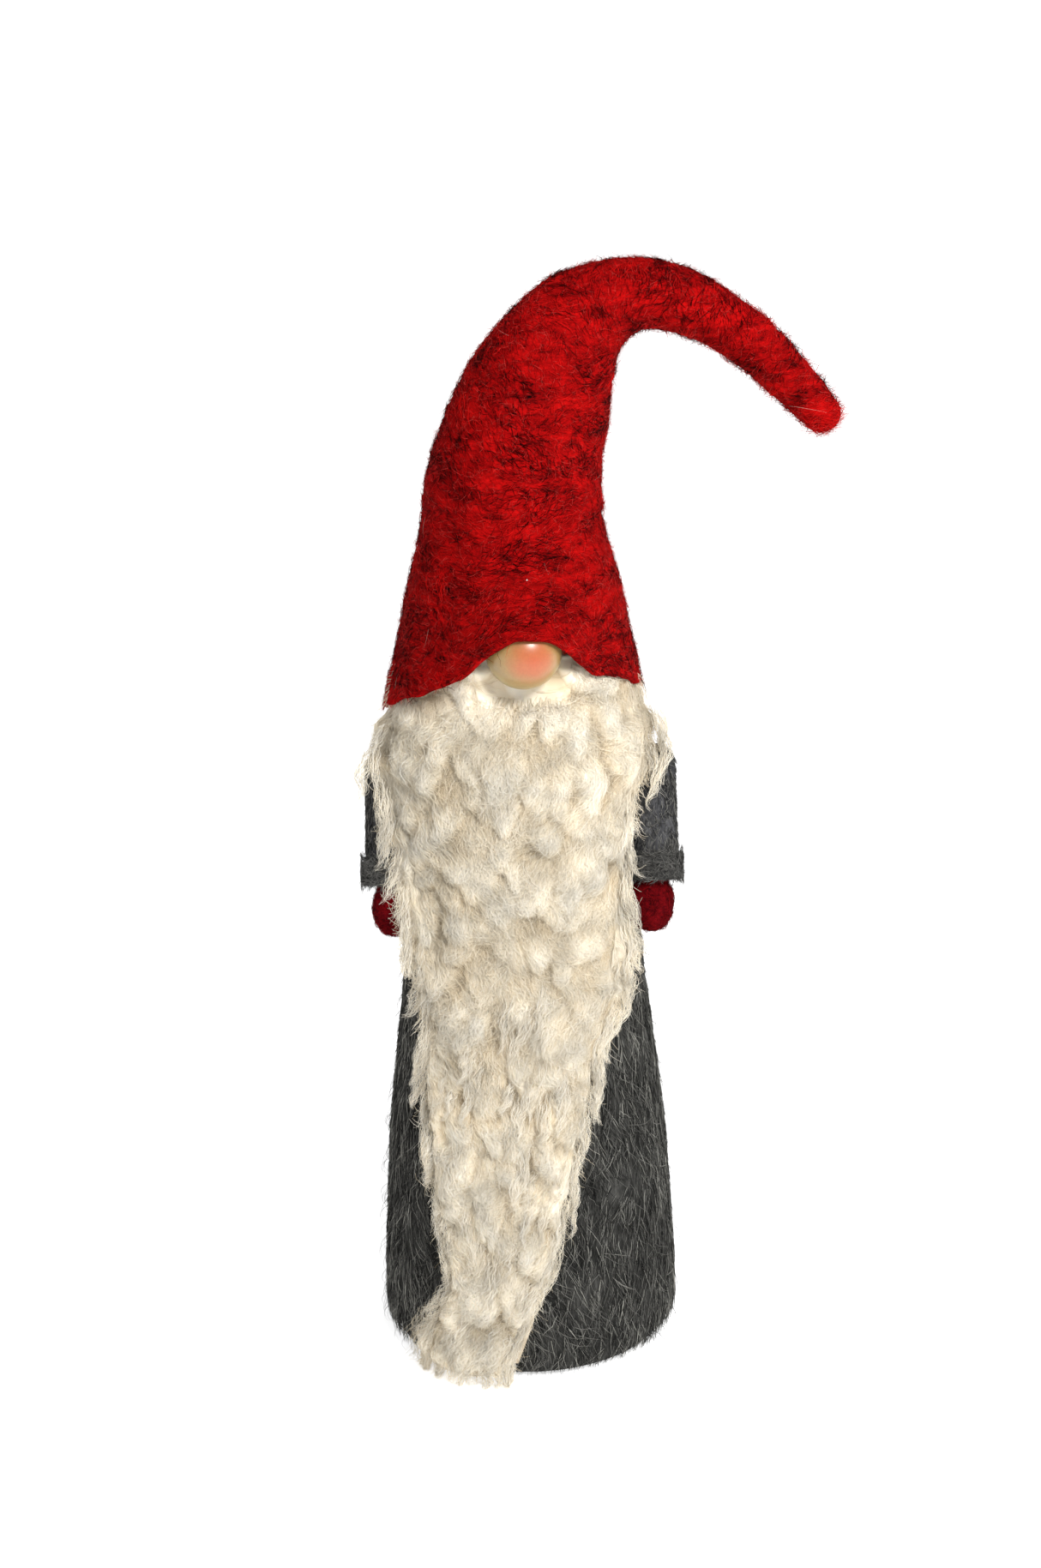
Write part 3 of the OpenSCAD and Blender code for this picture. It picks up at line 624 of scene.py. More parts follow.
def hat_fuzz(material):
    outer, normal = hat_surface()
    count = 9000
    point, n, up, around = scatter_on(outer, normal, count)
    turn = rng.uniform(0, TURN, count)
    along = unit(
        around * np.cos(turn)[:, None] + up * np.sin(turn)[:, None]
        + n * rng.uniform(0.1, 0.9, (count, 1))
    )
    length = rng.uniform(1.5, 5, count)
    k = 5
    path = fur_paths(point, n, along, length, k, rng.uniform(0.2, 1.0, count), rng.uniform(0.2, 0.9, count))
    radius = rng.uniform(0.05, 0.09, count)[:, None] * taper(k)[None]
    shade = np.repeat(rng.uniform(0, 1, count)[:, None], k, 1)
    return strand_objects("hat_fuzz", path * MM, radius * MM, shade, material)


def hat_long_fibres(pale):
    """A few long pale kemp hairs that lie on the felt."""
    outer, normal = hat_surface()
    count = 16
    point, n, up, around = scatter_on(outer, normal, count)
    k = 16
    s = np.linspace(0, 1, k)[None, :, None]
    turn = rng.uniform(0, TURN, count)
    along = around * np.cos(turn)[:, None] + up * np.sin(turn)[:, None]
    side = np.cross(n, along)
    length = rng.uniform(8, 24, count)[:, None, None]
    bow = rng.normal(0, 0.35, (count, 1, 1))
    path = (
        point[:, None] + along[:, None] * length * s + side[:, None] * length * bow * s * s
        + n[:, None] * (0.7 + 0.6 * np.sin(3 * s))
    )
    path -= n[:, None] * (length * s) ** 2 / 110
    radius = rng.uniform(0.05, 0.08, count)[:, None] * taper(k)[None]
    shade = np.repeat(rng.uniform(0.1, 0.6, count)[:, None], k, 1)
    return strand_objects("hat_kemp", path * MM, radius * MM, shade, pale)


# ---------- Nose ----------

def make_nose(material):
    rows, cols = 60, 96
    v = np.linspace(0.02, math.pi - 0.02, rows)
    f = np.linspace(0, 2 * math.pi, cols, endpoint=False)
    vv, ff = np.meshgrid(v, f, indexing="ij")
    d = np.stack([np.sin(vv) * np.cos(ff), -np.cos(vv), np.sin(vv) * np.sin(ff)], -1)
    r = NOSE_R / MM * (1 + 0.004 * noise3(d * 10, 6, 61))
    rings = d * r[..., None] * [1.0, 1.0, 0.985] + NOSE_AT / MM
    return tube_object("nose_ball", rings[:, ::-1] * MM, material)


# ---------- Beard ----------

# Height, left edge, right edge, thickness over the coat at the middle.
BEARD = np.array([
    [407, -44, 46, 11], [398, -52, 52, 13], [390, -62, 60, 15], [380, -70, 68, 17], [370, -76, 73, 20],
    [360, -80, 76, 23], [345, -81, 76, 24], [335, -80, 72, 23], [320, -75, 63, 21],
    [297, -71, 58, 20], [265, -67, 57, 19], [248, -64, 60, 19], [222, -57, 57, 18], [193, -56, 41, 17.5],
    [163, -57, 35, 17], [114, -54, 23, 16.5], [90, -48, 17, 16], [63, -44, 6, 15.5],
    [40, -52, -4, 14.5], [22, -60, -11, 14], [8, -60, -15, 12],
])
BEARD_ROWS = BEARD[::-1]


def beard_row(z):
    return [np.interp(z, BEARD_ROWS[:, 0], BEARD_ROWS[:, c]) for c in (1, 2, 3)]


def beard_point(s, z, depth):
    """A point of the beard: s from -1 to 1 across, height z, and depth 0 on the coat to 1 outside."""
    left, right, thick = beard_row(z)
    x = (left + right) / 2 + (right - left) / 2 * s
    under = coat_r(np.clip(z, 20, 384)) + 2.2
    r = under + thick * (1 - 0.5 * np.abs(s) ** 3) * depth
    y = -np.sqrt(np.maximum(r**2 - x**2, (0.34 * r) ** 2))
    return np.stack([x, before_arms(x, y, z, depth), z], -1)


def before_arms(x, y, z, depth):
    """Keeps the beard in front of the arms, which hang forwards at its sides."""
    ahead = SHOULDER_Y - (SHOULDER_Z - z) * math.tan(ARM_TILT) - SLEEVE_R - 6
    beside = smooth((np.abs(x) - 40) / 12) * smooth((z - 222) / 16) * smooth((352 - z) / 14)
    return np.where(depth > 0.3, y + beside * np.minimum(0, ahead - y), y)


ARM_TILT = math.radians(18.6)
SLEEVE_R, SLEEVE_L, CUFF_W = 12.0, 60.0, 15.0
SHOULDER_Z, SHOULDER_Y = 332.1, -14.0
FLEECE_TOP, FLEECE_LOW, FLEECE_SIDE = 405.0, 9.0, 0.93
FLEECE_ROWS, FLEECE_COLS = 372, 236


def tuft_plan():
    """Shingled tufts: across, top height, half width, length, height, sideways drift."""
    plan = []
    z = 24.0
    while z < 412:
        left, right, _ = beard_row(z)
        count = max(3, int(round((right - left) / 15)))
        for i in range(count):
            s = -1 + 2 * (i + 0.5 + rng.uniform(-0.4, 0.4)) / count
            x = (left + right) / 2 + (right - left) / 2 * s
            plan.append((
                x, z + rng.uniform(-7, 7), rng.uniform(6.5, 11.5), rng.uniform(22, 40),
                rng.uniform(2.6, 6.2), rng.normal(0, 5) + 0.06 * x,
            ))
        z += 12.5
    return plan


def tuft_height(x, z, plan):
    """Height of the fleece over its mat where tufts overlap like shingles."""
    wobble_x = 3.4 * noise3(np.stack([x, z, 0 * x], -1), 13, 71)
    wobble_z = 3.0 * noise3(np.stack([x, z, 0 * x], -1), 11, 72)
    height = np.zeros_like(x)
    for xc, zt, w, length, h, drift in plan:
        down = (zt - z + wobble_z) / length
        here = (down > 0) & (down < 1)
        d = down[here]
        across = (x[here] + wobble_x[here] - xc - drift * d**1.5) / (w * (1 - 0.6 * d**3))
        dome = np.sqrt(np.maximum(0, 1 - across**2))
        along = np.sin(math.pi * np.clip(d, 0, 1) ** 1.25) ** 0.6 * (0.35 + 0.65 * d)
        height[here] = np.maximum(height[here], h * dome * along)
    return height


def fleece_grid(plan):
    zs = np.linspace(FLEECE_TOP, FLEECE_LOW, FLEECE_ROWS)
    ss = np.linspace(-FLEECE_SIDE, FLEECE_SIDE, FLEECE_COLS)
    z, s = np.meshgrid(zs, ss, indexing="ij")
    ragged = s * (1 + 0.05 * noise3(np.stack([s * 0, z, np.sign(s)], -1), 9, 73))
    p = beard_point(ragged, z, 0.7)
    du, dv = np.gradient(p, axis=0), np.gradient(p, axis=1)
    n = unit(np.cross(du, dv))
    n = np.where(n[..., 1:2] > 0, -n, n)
    height = tuft_height(p[..., 0], z, plan)
    fade = smooth((1 - np.abs(s) / FLEECE_SIDE) * 9) * smooth((FLEECE_TOP - z) / 8)
    near_nose = np.exp(-(((p[..., 0] - 3) / 20) ** 4)) * smooth((z - 374) / 12)
    fine = 1.0 * fbm(p, 8, 74, 3)
    lift = (height + fine) * fade * (1 - near_nose) - 7.0 * near_nose - 2.5 * (1 - fade)
    return clear_nose(p + n * lift[..., None], 0.4), n, height


def make_fleece(grid, height, material):
    zs = np.linspace(FLEECE_TOP, FLEECE_LOW, FLEECE_ROWS)
    back_s = np.linspace(0.86, -0.86, 10)
    z, s = np.meshgrid(zs, back_s, indexing="ij")
    back = beard_point(s, z, 0.04)
    rings = np.concatenate([grid, back], axis=1)
    # Painted shade: the mat is darker and tan low in the creases between tufts and lighter on their crests,
    # plus random noise in tone.
    painted_shade_by_height = np.clip(height / 5.0, 0, 1)
    tone = 0.16 + 0.7 * painted_shade_by_height + 0.12 * noise3(grid, 18, 75)
    tone = np.concatenate([tone, np.full(back.shape[:2], 0.2)], axis=1)
    return tube_object("beard_fleece_mat", rings * MM, material, np.clip(tone, 0, 1))


def on_grid(grid, s, z):
    """Bilinear lookup of a fleece grid at across s and height z."""
    row = np.clip((FLEECE_TOP - z) / (FLEECE_TOP - FLEECE_LOW) * (FLEECE_ROWS - 1), 0, FLEECE_ROWS - 1.001)
    col = np.clip((s / FLEECE_SIDE + 1) / 2 * (FLEECE_COLS - 1), 0, FLEECE_COLS - 1.001)
    i, j = row.astype(int), col.astype(int)
    a, b = (row - i), (col - j)
    if grid.ndim == 3:
        a, b = a[..., None], b[..., None]
    return (
        grid[i, j] * (1 - a) * (1 - b) + grid[i + 1, j] * a * (1 - b)
        + grid[i, j + 1] * (1 - a) * b + grid[i + 1, j + 1] * a * b
    )


def clear_nose(path, gap=0.8):
    """Keeps hairs off the nose, so that its whole lower edge shows."""
    away = path - NOSE_AT / MM
    d = np.linalg.norm(away, axis=-1, keepdims=True)
    r = NOSE_R / MM + gap
    return np.where(d < r, NOSE_AT / MM + away / np.maximum(d, 1e-6) * r, path)


def fleece_fibres(grid, normal, height, material):
    count, k = 25000, 9
    z0 = rng.uniform(14, 402, count)
    left, right, _ = beard_row(z0)
    keep = rng.random(count) < (right - left) / 154
    z0 = np.where(keep, z0, rng.uniform(200, 402, count))
    s0 = rng.uniform(-0.97, 0.97, count)
    left, right, _ = beard_row(z0)
    middle, half = (left + right) / 2, (right - left) / 2
    x0 = middle + half * s0
    near = (np.abs(x0 - 3) < 23) & (z0 > 386)
    z0 = np.where(near, z0 - 20, z0)
    here = np.stack([x0, 0 * z0, z0], -1)
    angle = 0.6 * noise3(here, 17, 76) + 0.45 * noise3(here, 7, 77) + rng.normal(0, 0.28, count)
    length = rng.uniform(9, 24, count)
    t = np.linspace(0, 1, k)[None]
    turn = angle[:, None] + rng.normal(0, 0.5, (count, 1)) * t
    crimp = rng.uniform(0.25, 0.9, (count, 1)) * np.sin(
        rng.uniform(8, 20, (count, 1)) * t + rng.uniform(0, TURN, (count, 1))
    )
    x = x0[:, None] + length[:, None] * t * np.sin(turn) + crimp
    z = np.maximum(z0[:, None] - length[:, None] * t * np.cos(turn), FLEECE_LOW)
    s = (x - middle[:, None]) / np.maximum(half[:, None], 1)
    p, n = on_grid(grid, s, z), on_grid(normal, s, z)
    beyond = np.clip(np.abs(s) - FLEECE_SIDE, 0, 1) * np.sign(s) * half[:, None]
    p[..., 0] += beyond * 0.5
    lift = rng.uniform(0.05, 1.1, (count, 1)) + rng.exponential(0.7, (count, 1)) * t**2
    p = clear_nose(p + n * lift[..., None])
    radius = rng.uniform(0.09, 0.17, count)[:, None] * taper(k, 0.7, 0.4)[None]
    # Painted shade: fibres that sit low between tufts are darker and those on tuft crests lighter, plus a
    # random spread in tone.
    fibre_painted_shade_height = on_grid(height, s, z)
    shade = np.clip(0.3 + 0.11 * fibre_painted_shade_height + rng.normal(0, 0.13, (count, 1)), 0, 1)
    return strand_objects("beard_fibres", p * MM, radius * MM, shade, material)


def lock_frames(path):
    t = unit(np.gradient(path, axis=0))
    out = unit(np.stack([path[:, 0], path[:, 1], 0 * path[:, 0]], -1))
    n = unit(out - t * (t * out).sum(-1, keepdims=True))
    return t, n, np.cross(t, n)


def edge_locks():
    """Hanging locks along both edges and over the bottom: across, height, length, half width."""
    plan = []
    for side in (-1, 1):
        z = 20.0
        while z < 372:
            plan.append((
                side * rng.uniform(0.84, 1.02), z + rng.uniform(-4, 4),
                rng.uniform(20, 42), rng.uniform(2.6, 5.2),
            ))
            z += rng.uniform(6, 11)
    for _ in range(60):
        plan.append((
            rng.uniform(-0.9, 0.9), rng.uniform(20, 250), rng.uniform(20, 38), rng.uniform(2.6, 5.0),
        ))
    for _ in range(26):
        plan.append((rng.uniform(-1.0, 0.9), rng.uniform(22, 44), rng.uniform(18, 34), rng.uniform(2.4, 4.4)))
    return plan


def lock_path(s0, z0, length, k):
    tau = np.linspace(0, 1, k)
    z = np.maximum(z0 - length * tau, 2.5)
    s = s0 + (rng.normal(0, 0.05) + 0.13 * s0) * tau**1.4
    p = beard_point(s, z, 0.62 + 0.5 * np.sin(tau * 1.7) * rng.uniform(0.6, 1.0))
    wave, phase, beat = rng.uniform(0.8, 2.4), rng.uniform(0, TURN), rng.uniform(1.2, 2.4)
    grow = tau**1.3
    p[:, 0] += wave * grow * np.sin(beat * 2 * math.pi * tau + phase)
    p[:, 1] += 0.6 * wave * grow * np.cos(beat * 2 * math.pi * tau + phase)
    return p


def lock_fibres(path, n, b, size, count, k=10):
    """Crimped fibres that make up a lock."""
    rows = len(path)
    start = rng.uniform(0, 0.45, (count, 1))
    end = np.minimum(start + rng.uniform(0.4, 0.7, (count, 1)), 1.0)
    tau = start + (end - start) * np.linspace(0, 1, k)[None]
    at = tau * (rows - 1)
    i = np.clip(at.astype(int), 0, rows - 2)
    w = (at - i)[..., None]

    def pick(v):
        return v[i] * (1 - w) + v[i + 1] * w

    a = rng.uniform(0, 2 * math.pi, (count, 1)) + rng.normal(0, 0.8, (count, 1)) * (tau - start)
    r = (pick(size[:, None])[..., 0] * np.sqrt(rng.uniform(0.05, 1.1, (count, 1))))[..., None]
    p = pick(path) + pick(b) * np.cos(a)[..., None] * r + pick(n) * np.sin(a)[..., None] * r * 0.7
    crimp = rng.uniform(0.4, 1.35, (count, 1, 1))
    beat, phase = rng.uniform(14, 30, (count, 1)), rng.uniform(0, TURN, (count, 1))
    p += crimp * np.sin(beat * tau + phase)[..., None] * pick(b)
    return p + 0.7 * crimp * np.cos(beat * tau + phase)[..., None] * pick(n)


def make_locks(material):
    rows = 16
    tau = np.linspace(0, 1, rows)
    fibres = []
    for s0, z0, length, width in edge_locks():
        path = lock_path(s0, z0, length, rows)
        _, n, b = lock_frames(path)
        size = width * (0.5 + 0.5 * np.sin(math.pi * tau**0.7)) * (1 - 0.8 * tau**3)
        fibres.append(lock_fibres(path, n, b, size, 52))
    path = clear_nose(np.concatenate(fibres))
    path[..., 2] = np.maximum(path[..., 2], 0.8)
    k = path.shape[1]
    radius = rng.uniform(0.08, 0.15, len(path))[:, None] * taper(k, 0.8, 0.4)[None]
    shade = np.repeat(np.clip(rng.normal(0.72, 0.16, len(path)), 0, 1)[:, None], k, 1)
    return strand_objects("beard_locks", path * MM, radius * MM, shade, material)


def beard_curls(material):
    """Loose curled hairs round the outline and where the beard meets the floor."""
    sides, low = 1700, 700
    count = sides + low
    z = np.concatenate([rng.uniform(6, 335, sides), rng.uniform(4, 40, low)])
    side = np.where(rng.random(sides) < 0.5, -1, 1)
    s = np.concatenate([side * rng.uniform(0.82, 1.0, sides), 0.95 - 2.25 * rng.random(low) ** 0.8])
    root = beard_point(s, z, rng.uniform(0.4, 0.95, count))
    k = 13
    t = np.linspace(0, 1, k)[None, :, None]
    length = rng.uniform(6, 17, count)[:, None, None]
    outward = unit(np.stack([np.sign(s), -0.35 + 0 * s, 0 * s], -1))[:, None]
    forward = unit(root * [1, 1, 0])[:, None]
    spread = rng.uniform(0.0, 0.6, (count, 1, 1))
    loop = rng.uniform(0.7, 2.6, (count, 1, 1))
    beat, phase = rng.uniform(3, 9, (count, 1, 1)), rng.uniform(0, TURN, (count, 1, 1))
    path = (
        root[:, None] + np.array([0, 0, -1.0]) * length * t * 0.75
        + outward * (spread * length * t**1.3 * 0.6)
        + outward * loop * (np.sin(beat * t + phase) - np.sin(phase)) * t
        + forward * loop * np.cos(beat * t + phase) * t
    )
    flat = 1.2 + 0.6 * rng.random(path.shape[:2])
    path[..., 2] = np.where(path[..., 2] < 1.2, flat, path[..., 2])
    radius = rng.uniform(0.07, 0.13, count)[:, None] * taper(k, 0.9, 0.4)[None]
    shade = np.repeat(np.clip(rng.normal(0.5, 0.18, count), 0, 1)[:, None], k, 1)
    return strand_objects("beard_curls", clear_nose(path) * MM, radius * MM, shade, material)


# ---------- Arms ----------

def arm_frame(side):
    """Shoulder point and the arm's own directions: sideways, front and up along the sleeve."""
    x = box_middle("sleeve_right" if side > 0 else "sleeve_left")[0] / MM
    low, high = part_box("cuff_right" if side > 0 else "cuff_left")
    x = (low.x + high.x) / 2 / MM
    at = np.array([x, SHOULDER_Y, SHOULDER_Z])
    up = np.array([0, math.sin(ARM_TILT), math.cos(ARM_TILT)])
    front = np.array([0, -math.cos(ARM_TILT), math.sin(ARM_TILT)])
    return at, np.array([1.0, 0, 0]), front, up


def arm_rings(side, rows, cols=72, squash=1.0, shift=0.0):
    """Rings along the arm: rows of (distance below the shoulder, radius)."""
    at, right, front, up = arm_frame(side)
    f = np.linspace(0, 2 * math.pi, cols, endpoint=False)
    rings = []
    for d, r in rows:
        c = at - up * d - right * side * shift
        rings.append(c + np.cos(f)[:, None] * right * r + np.sin(f)[:, None] * front * r * squash)
    return np.array(rings)


def sleeve_rows():
    cap = [(-SLEEVE_R * math.cos(a), SLEEVE_R * math.sin(a)) for a in np.radians([6, 18, 32, 46, 60, 75])]
    tube = [(d, SLEEVE_R + 0.8 * d / SLEEVE_L) for d in np.linspace(0, SLEEVE_L - 1, 34)]
    return cap + tube + [(SLEEVE_L, SLEEVE_R - 0.5), (SLEEVE_L - 2, SLEEVE_R - 2.5)]


def rough(rings, amount, scale, seed):
    return rings + ring_normals(rings)[..., :] * (amount * fbm(rings, scale, seed, 3))[..., None]


def make_sleeve(side, name, material):
    rings = arm_rings(side, sleeve_rows())
    rings[:-2] = rough(rings[:-2], 0.7, 9, 101)
    return tube_object(name, rings * MM, material)


def make_cuff(side, name, material):
    low = SLEEVE_L + 0.8
    r = SLEEVE_R + 2.2
    rows = [
        (low - 3, r - 2.6), (low - 0.6, r - 1.8), (low + 0.3, r - 0.6), (low - 0.4, r + 0.7),
        (low - 2.5, r + 1.1),
    ]
    rows += [(d, r + 0.9 + 0.4 * math.sin(d)) for d in np.linspace(low - 4, low - CUFF_W + 2.5, 9)]
    rows += [
        (low - CUFF_W + 1.2, r + 0.7), (low - CUFF_W + 0.2, r), (low - CUFF_W + 0.4, r - 1.2),
        (low - CUFF_W + 3, r - 1.6),
    ]
    rings = arm_rings(side, rows)
    rings = rings + unit(rings - rings.mean(1, keepdims=True)) * (0.6 * fbm(rings, 6, 103, 3))[..., None]
    return tube_object(name, rings * MM, material)


def mitten_rings(side):
    half, middle = 15.5, 56 + 15 + 2
    rows = [(middle - 26, 8.2), (middle - 20, 8.6), (middle - 15, 9.3)]
    rows += [
        (middle - half * math.cos(a), 12.6 * math.sin(a) ** 0.92)
        for a in np.radians(np.linspace(52, 176, 26))
    ]
    rings = arm_rings(side, rows, squash=0.94, shift=2.5)
    return rough(rings, 0.55, 9, 105)


def fur_on(name, rings, count, along_axis, length, lift, radius, tones, material, k=5, sway=0.4):
    """Short hairs on a ring surface, mostly along one of its two directions."""
    point, n, u, v = scatter_on(rings, ring_normals(rings), count)
    middle = rings.reshape(-1, 3).mean(0)
    n = np.where(((point - middle) * n).sum(-1, keepdims=True) < 0, -n, n)
    main, other = (u, v) if along_axis == 0 else (v, u)
    a = rng.normal(0, sway, count)
    along = unit(main * np.cos(a)[:, None] + other * np.sin(a)[:, None])
    size = rng.uniform(*length, count)
    path = fur_paths(
        point - n * 0.2, n, along, size, k, rng.uniform(*lift, count), rng.uniform(0.1, 0.5, count)
    )
    thick = rng.uniform(*radius, count)[:, None] * taper(k)[None]
    shade = np.repeat(np.clip(rng.uniform(*tones, count), 0, 1)[:, None], k, 1)
    return strand_objects(name, path * MM, thick * MM, shade, material)


def make_arm(side, mats):
    tag = "right" if side > 0 else "left"
    body = "arm_" + tag
    sleeve = make_sleeve(side, "sleeve_cloth_" + tag, mats["sleeve"])
    cuff = make_cuff(side, "cuff_cloth_" + tag, mats["cuff"])
    mitten_shape = mitten_rings(side)
    mitten = tube_object("mitten_felt_" + tag, mitten_shape * MM, mats["mitten"])
    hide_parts("sleeve_" + tag)
    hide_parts("cuff_" + tag)
    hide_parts("mitten_" + tag)
    sleeve_shape = arm_rings(side, sleeve_rows()[:-3])
    hairs = fur_on(
        "sleeve_hairs_" + tag, sleeve_shape, 4200, 0,
        (3, 6.5), (0.2, 1.0), (0.11, 0.2), (0, 1), mats["sleeve_hair"],
    )
    r = SLEEVE_R + 3.1
    cuff_shape = arm_rings(side, [(d, r) for d in np.linspace(SLEEVE_L - CUFF_W + 1, SLEEVE_L + 1, 14)])
    fuzz = fur_on(
        "cuff_hairs_" + tag, cuff_shape, 2200, 1,
        (2.5, 6), (0.2, 1.2), (0.1, 0.18), (0, 1), mats["cuff_hair"], sway=0.9,
    )
    felt = fur_on(
        "mitten_fibres_" + tag, mitten_shape[2:-2], 1800, 1,
        (2, 6), (0.1, 0.7), (0.08, 0.15), (0, 1), mats["mitten_hair"], sway=0.9,
    )
    for piece in [sleeve, cuff, mitten, *hairs, *fuzz, *felt]:
        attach(piece, body)


# ---------- Stage ----------

def make_camera():
    cam = bpy.data.cameras.new("camera")
    cam.sensor_width = 36
    cam.lens = 62.2
    obj = bpy.data.objects.new("camera", cam)
    bpy.context.scene.collection.objects.link(obj)
    pitch = Matrix.Rotation(math.radians(90 - 17.9), 4, "X")
    roll = Matrix.Rotation(math.radians(-1.2), 4, "Z")
    obj.matrix_world = Matrix.Translation((0, -1.4, 0.771)) @ pitch @ roll
    bpy.context.scene.camera = obj


def area_light(name, place, aim, size, power):
    light = bpy.data.lights.new(name, "AREA")
    light.shape = "DISK"
    light.size = size
    light.energy = power
    obj = bpy.data.objects.new(name, light)
    bpy.context.scene.collection.objects.link(obj)
    direction = Vector(aim) - Vector(place)
    obj.matrix_world = Matrix.Translation(place) @ direction.to_track_quat("-Z", "Y").to_matrix().to_4x4()


def make_stage():
    m, nt, bsdf = new_material("floor_paper")
    fine = object_noise(nt, 40, 2)
    nt.links.new(
        ramp(nt, fine, [(0.3, (0.93, 0.93, 0.93)), (0.7, (0.95, 0.95, 0.95))]), bsdf.inputs["Base Color"]
    )
    bsdf.inputs["Roughness"].default_value = 0.95
    bsdf.inputs["Specular IOR Level"].default_value = 0.0
    bsdf.inputs["Emission Color"].default_value = (1, 1, 1, 1)
    bsdf.inputs["Emission Strength"].default_value = FLOOR_GLOW
    size = 12.0
    verts = np.array([[-size, -size, 0], [size, -size, 0], [size, size, 0], [-size, size, 0]])
    floor = mesh_object("floor", verts, [[0, 1, 2, 3]], m, smooth_faces=False)
    world = bpy.data.worlds.new("studio")
    world.use_nodes = True
    nt = world.node_tree
    back = nt.nodes["Background"]
    back.inputs[0].default_value = (1, 1, 1, 1)
    seen = nt.nodes.new("ShaderNodeLightPath")
    level = node(nt, "ShaderNodeMath", operation="MULTIPLY_ADD")
    level.inputs[1].default_value = 1.1 - AMBIENT
    level.inputs[2].default_value = AMBIENT
    nt.links.new(seen.outputs["Is Camera Ray"], level.inputs[0])
    nt.links.new(level.outputs[0], back.inputs[1])
    bpy.context.scene.world = world
    area_light("key", (0.5, -0.95, 1.2), (0, 0, 0.42), 0.4, 21)
    bpy.context.scene.view_settings.view_transform = "Standard"


# ---------- Putting it together ----------

def dress_cad():
    """Materials for the CAD nodes that stay: what is inside, under or behind the soft pieces."""
    white = cloth_material("stuffing_wool", (0.62, 0.6, 0.55), (0.85, 0.84, 0.8), 90, 1.5)
    kinds = {
        "base_cloth": cloth_material("base_wool_cloth", (0.015, 0.015, 0.016), (0.06, 0.06, 0.062), 350, 0.5),
        "base_board": cloth_material("grey_board", (0.26, 0.17, 0.1), (0.36, 0.25, 0.15), 200, 0.2),
        "base_stitches": cloth_material("black_thread", (0.01, 0.01, 0.01), (0.04, 0.04, 0.04), 900, 0.1),
        "sand_bag": cloth_material("cotton_bag", (0.5, 0.45, 0.35), (0.64, 0.58, 0.47), 700, 0.2),
        "sand_fill": cloth_material("sand_grain", (0.35, 0.24, 0.12), (0.58, 0.44, 0.26), 1200, 0.5),
        "nose_peg": wood_material("peg_beech", (0.38, 0.22, 0.1), (0.52, 0.34, 0.18)),
        "hat_tip_core": cloth_material("core_red_wool", (0.2, 0.005, 0.005), (0.42, 0.015, 0.015), 150, 0.8),
        "beard_backing": cloth_material("fleece_hide", (0.5, 0.4, 0.28), (0.68, 0.58, 0.44), 130, 0.5),
        "beard_thread": cloth_material("linen_thread", (0.55, 0.48, 0.36), (0.74, 0.68, 0.55), 900, 0.1),
    }
    for name in ("body_stuffing", "hat_stuffing", "arm_stuffing_left", "arm_stuffing_right"):
        kinds[name] = white
    wire = wire_material()
    for name in ("hat_wire_crown", "hat_wire_bend", "hat_wire_tip"):
        kinds[name] = wire
    red = cloth_material("red_thread", (0.16, 0.003, 0.003), (0.3, 0.01, 0.01), 900, 0.1)
    for name in ("hat_tack_right", "hat_tack_back", "hat_tack_left"):
        kinds[name] = red
    for name in ("arm_thread_left", "arm_thread_right"):
        kinds[name] = kinds["base_stitches"]
    for name, material in kinds.items():
        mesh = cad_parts[name].data
        mesh.materials.clear()
        mesh.materials.append(material)


def ride_all(pieces, body):
    for p in pieces:
        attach(p, body)


# Felted cloths: dark, middle and light colour.
COAT_WOOL = [(0.008, 0.008, 0.008), (0.026, 0.026, 0.024), (0.07, 0.069, 0.064)]
HAT_FELT = [(0.006, 0.0004, 0.0006), (0.2, 0.0012, 0.0015), (0.42, 0.003, 0.003)]
SLEEVE_WOOL = [(0.015, 0.015, 0.016), (0.04, 0.04, 0.043), (0.09, 0.09, 0.094)]
CUFF_WOOL = [(0.012, 0.012, 0.012), (0.035, 0.035, 0.033), (0.08, 0.08, 0.075)]
MITTEN_FELT = [(0.01, 0.0006, 0.001), (0.075, 0.0012, 0.003), (0.17, 0.003, 0.005)]
# Hairs: colour at each tone, from dark to light.
COAT_HAIR = [
    (0.0, (0.009, 0.009, 0.009)), (0.3, (0.05, 0.05, 0.046)),
    (0.55, (0.16, 0.157, 0.145)), (1.0, (0.46, 0.45, 0.4)),
]
HAT_HAIR = [
    (0.0, (0.003, 0.0004, 0.0006)), (0.34, (0.03, 0.0008, 0.001)),
    (0.5, (0.24, 0.002, 0.0025)), (1.0, (0.55, 0.006, 0.005)),
]
HAT_FUZZ = [(0.0, (0.2, 0.004, 0.004)), (1.0, (0.62, 0.06, 0.05))]
HAT_KEMP = [(0.0, (0.4, 0.12, 0.1)), (1.0, (0.8, 0.62, 0.52))]
CUFF_HAIR = [(0.0, (0.012, 0.012, 0.012)), (1.0, (0.22, 0.215, 0.2))]
MITTEN_HAIR = [(0.0, (0.015, 0.0006, 0.0015)), (1.0, (0.26, 0.005, 0.007))]
# Fleece: its dark tan end is painted shade where the mat and fibres sit low in the creases between tufts;
# locks and curls use it as random tone.
FLEECE = [
    (0.0, (0.46, 0.35, 0.21)), (0.3, (0.78, 0.67, 0.49)),
    (0.65, (0.9, 0.83, 0.69)), (1.0, (0.95, 0.91, 0.82)),
]
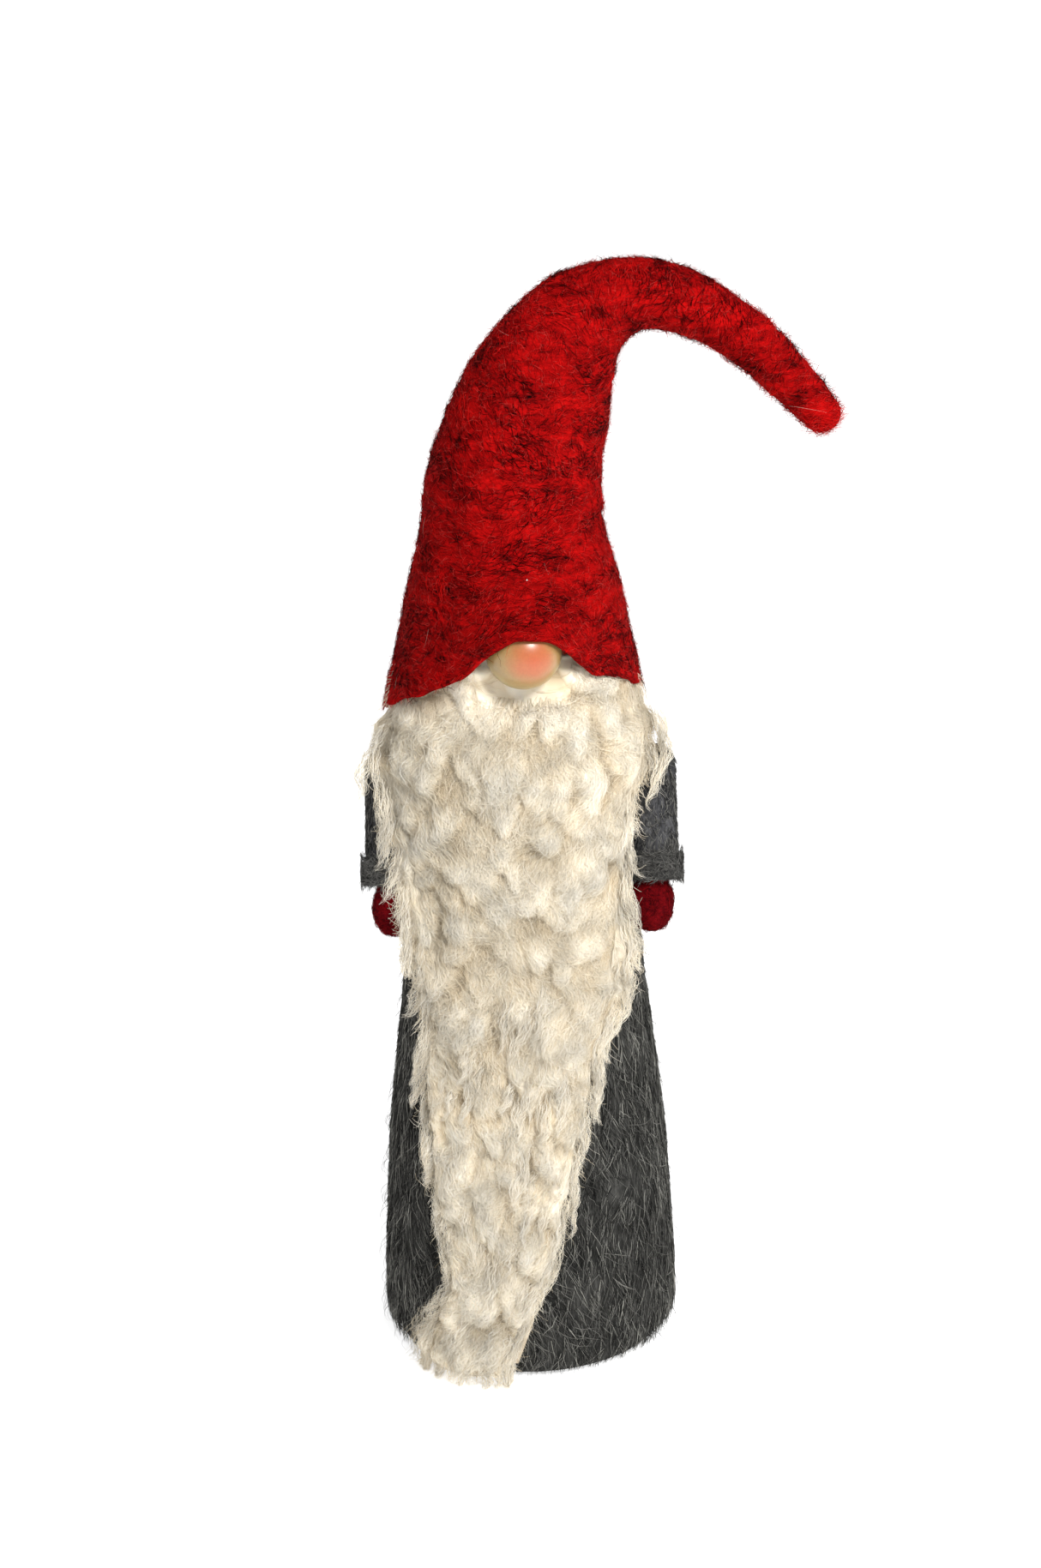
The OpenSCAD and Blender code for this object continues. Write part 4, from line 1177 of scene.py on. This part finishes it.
SLEEVE_HAIR = [(0.0, (0.01, 0.01, 0.01)), (0.5, (0.05, 0.05, 0.047)), (1.0, (0.24, 0.235, 0.215))]


def build_coat():
    cloth = felt_material("coat_wool", *COAT_WOOL, 90, (1, 1, 0.3), 1.0)
    hair = fibre_material("coat_hair", COAT_HAIR)
    coat = make_coat(cloth)
    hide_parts("coat")
    ride_all([coat, *coat_fur(hair), *coat_flyaways(hair)], "body")


def build_hat():
    felt = felt_material("hat_felt", *HAT_FELT, 95, (0.6, 0.6, 1.5), 0.9)
    hair = fibre_material("hat_hair", HAT_HAIR)
    fuzz = fibre_material("hat_fuzz", HAT_FUZZ)
    pale = fibre_material("hat_kemp", HAT_KEMP)
    hat = make_hat(felt)
    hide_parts("hat_crown", "hat_crook", "hat_tip")
    for p in [hat, *hat_fibres(hair), *hat_fuzz(fuzz), *hat_long_fibres(pale)]:
        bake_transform(p)


def build_nose():
    nose = make_nose(nose_material())
    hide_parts("nose")
    ride_all([nose], "body")


def build_beard():
    mat = fibre_material("beard_mat", FLEECE, soft=0.2)
    fibre = fibre_material("beard_fibre", FLEECE)
    grid, normal, height = fleece_grid(tuft_plan())
    base = make_fleece(grid, height, mat)
    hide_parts("beard_fleece")
    for p in [base, *fleece_fibres(grid, normal, height, fibre), *make_locks(fibre), *beard_curls(fibre)]:
        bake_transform(p)


def build_arms():
    mats = {
        "sleeve": felt_material("sleeve_wool", *SLEEVE_WOOL, 110, (1, 1, 0.4), 0.8),
        "cuff": felt_material("cuff_wool", *CUFF_WOOL, 150, (1, 1, 1), 0.8),
        "mitten": felt_material("mitten_felt", *MITTEN_FELT, 90, (1, 1, 1), 0.6),
        "sleeve_hair": fibre_material("sleeve_hair", SLEEVE_HAIR),
        "cuff_hair": fibre_material("cuff_hair", CUFF_HAIR),
        "mitten_hair": fibre_material("mitten_hair", MITTEN_HAIR),
    }
    for side in (-1, 1):
        make_arm(side, mats)


make_camera()
make_stage()
dress_cad()
build_coat()
build_arms()
build_nose()
build_hat()
build_beard()
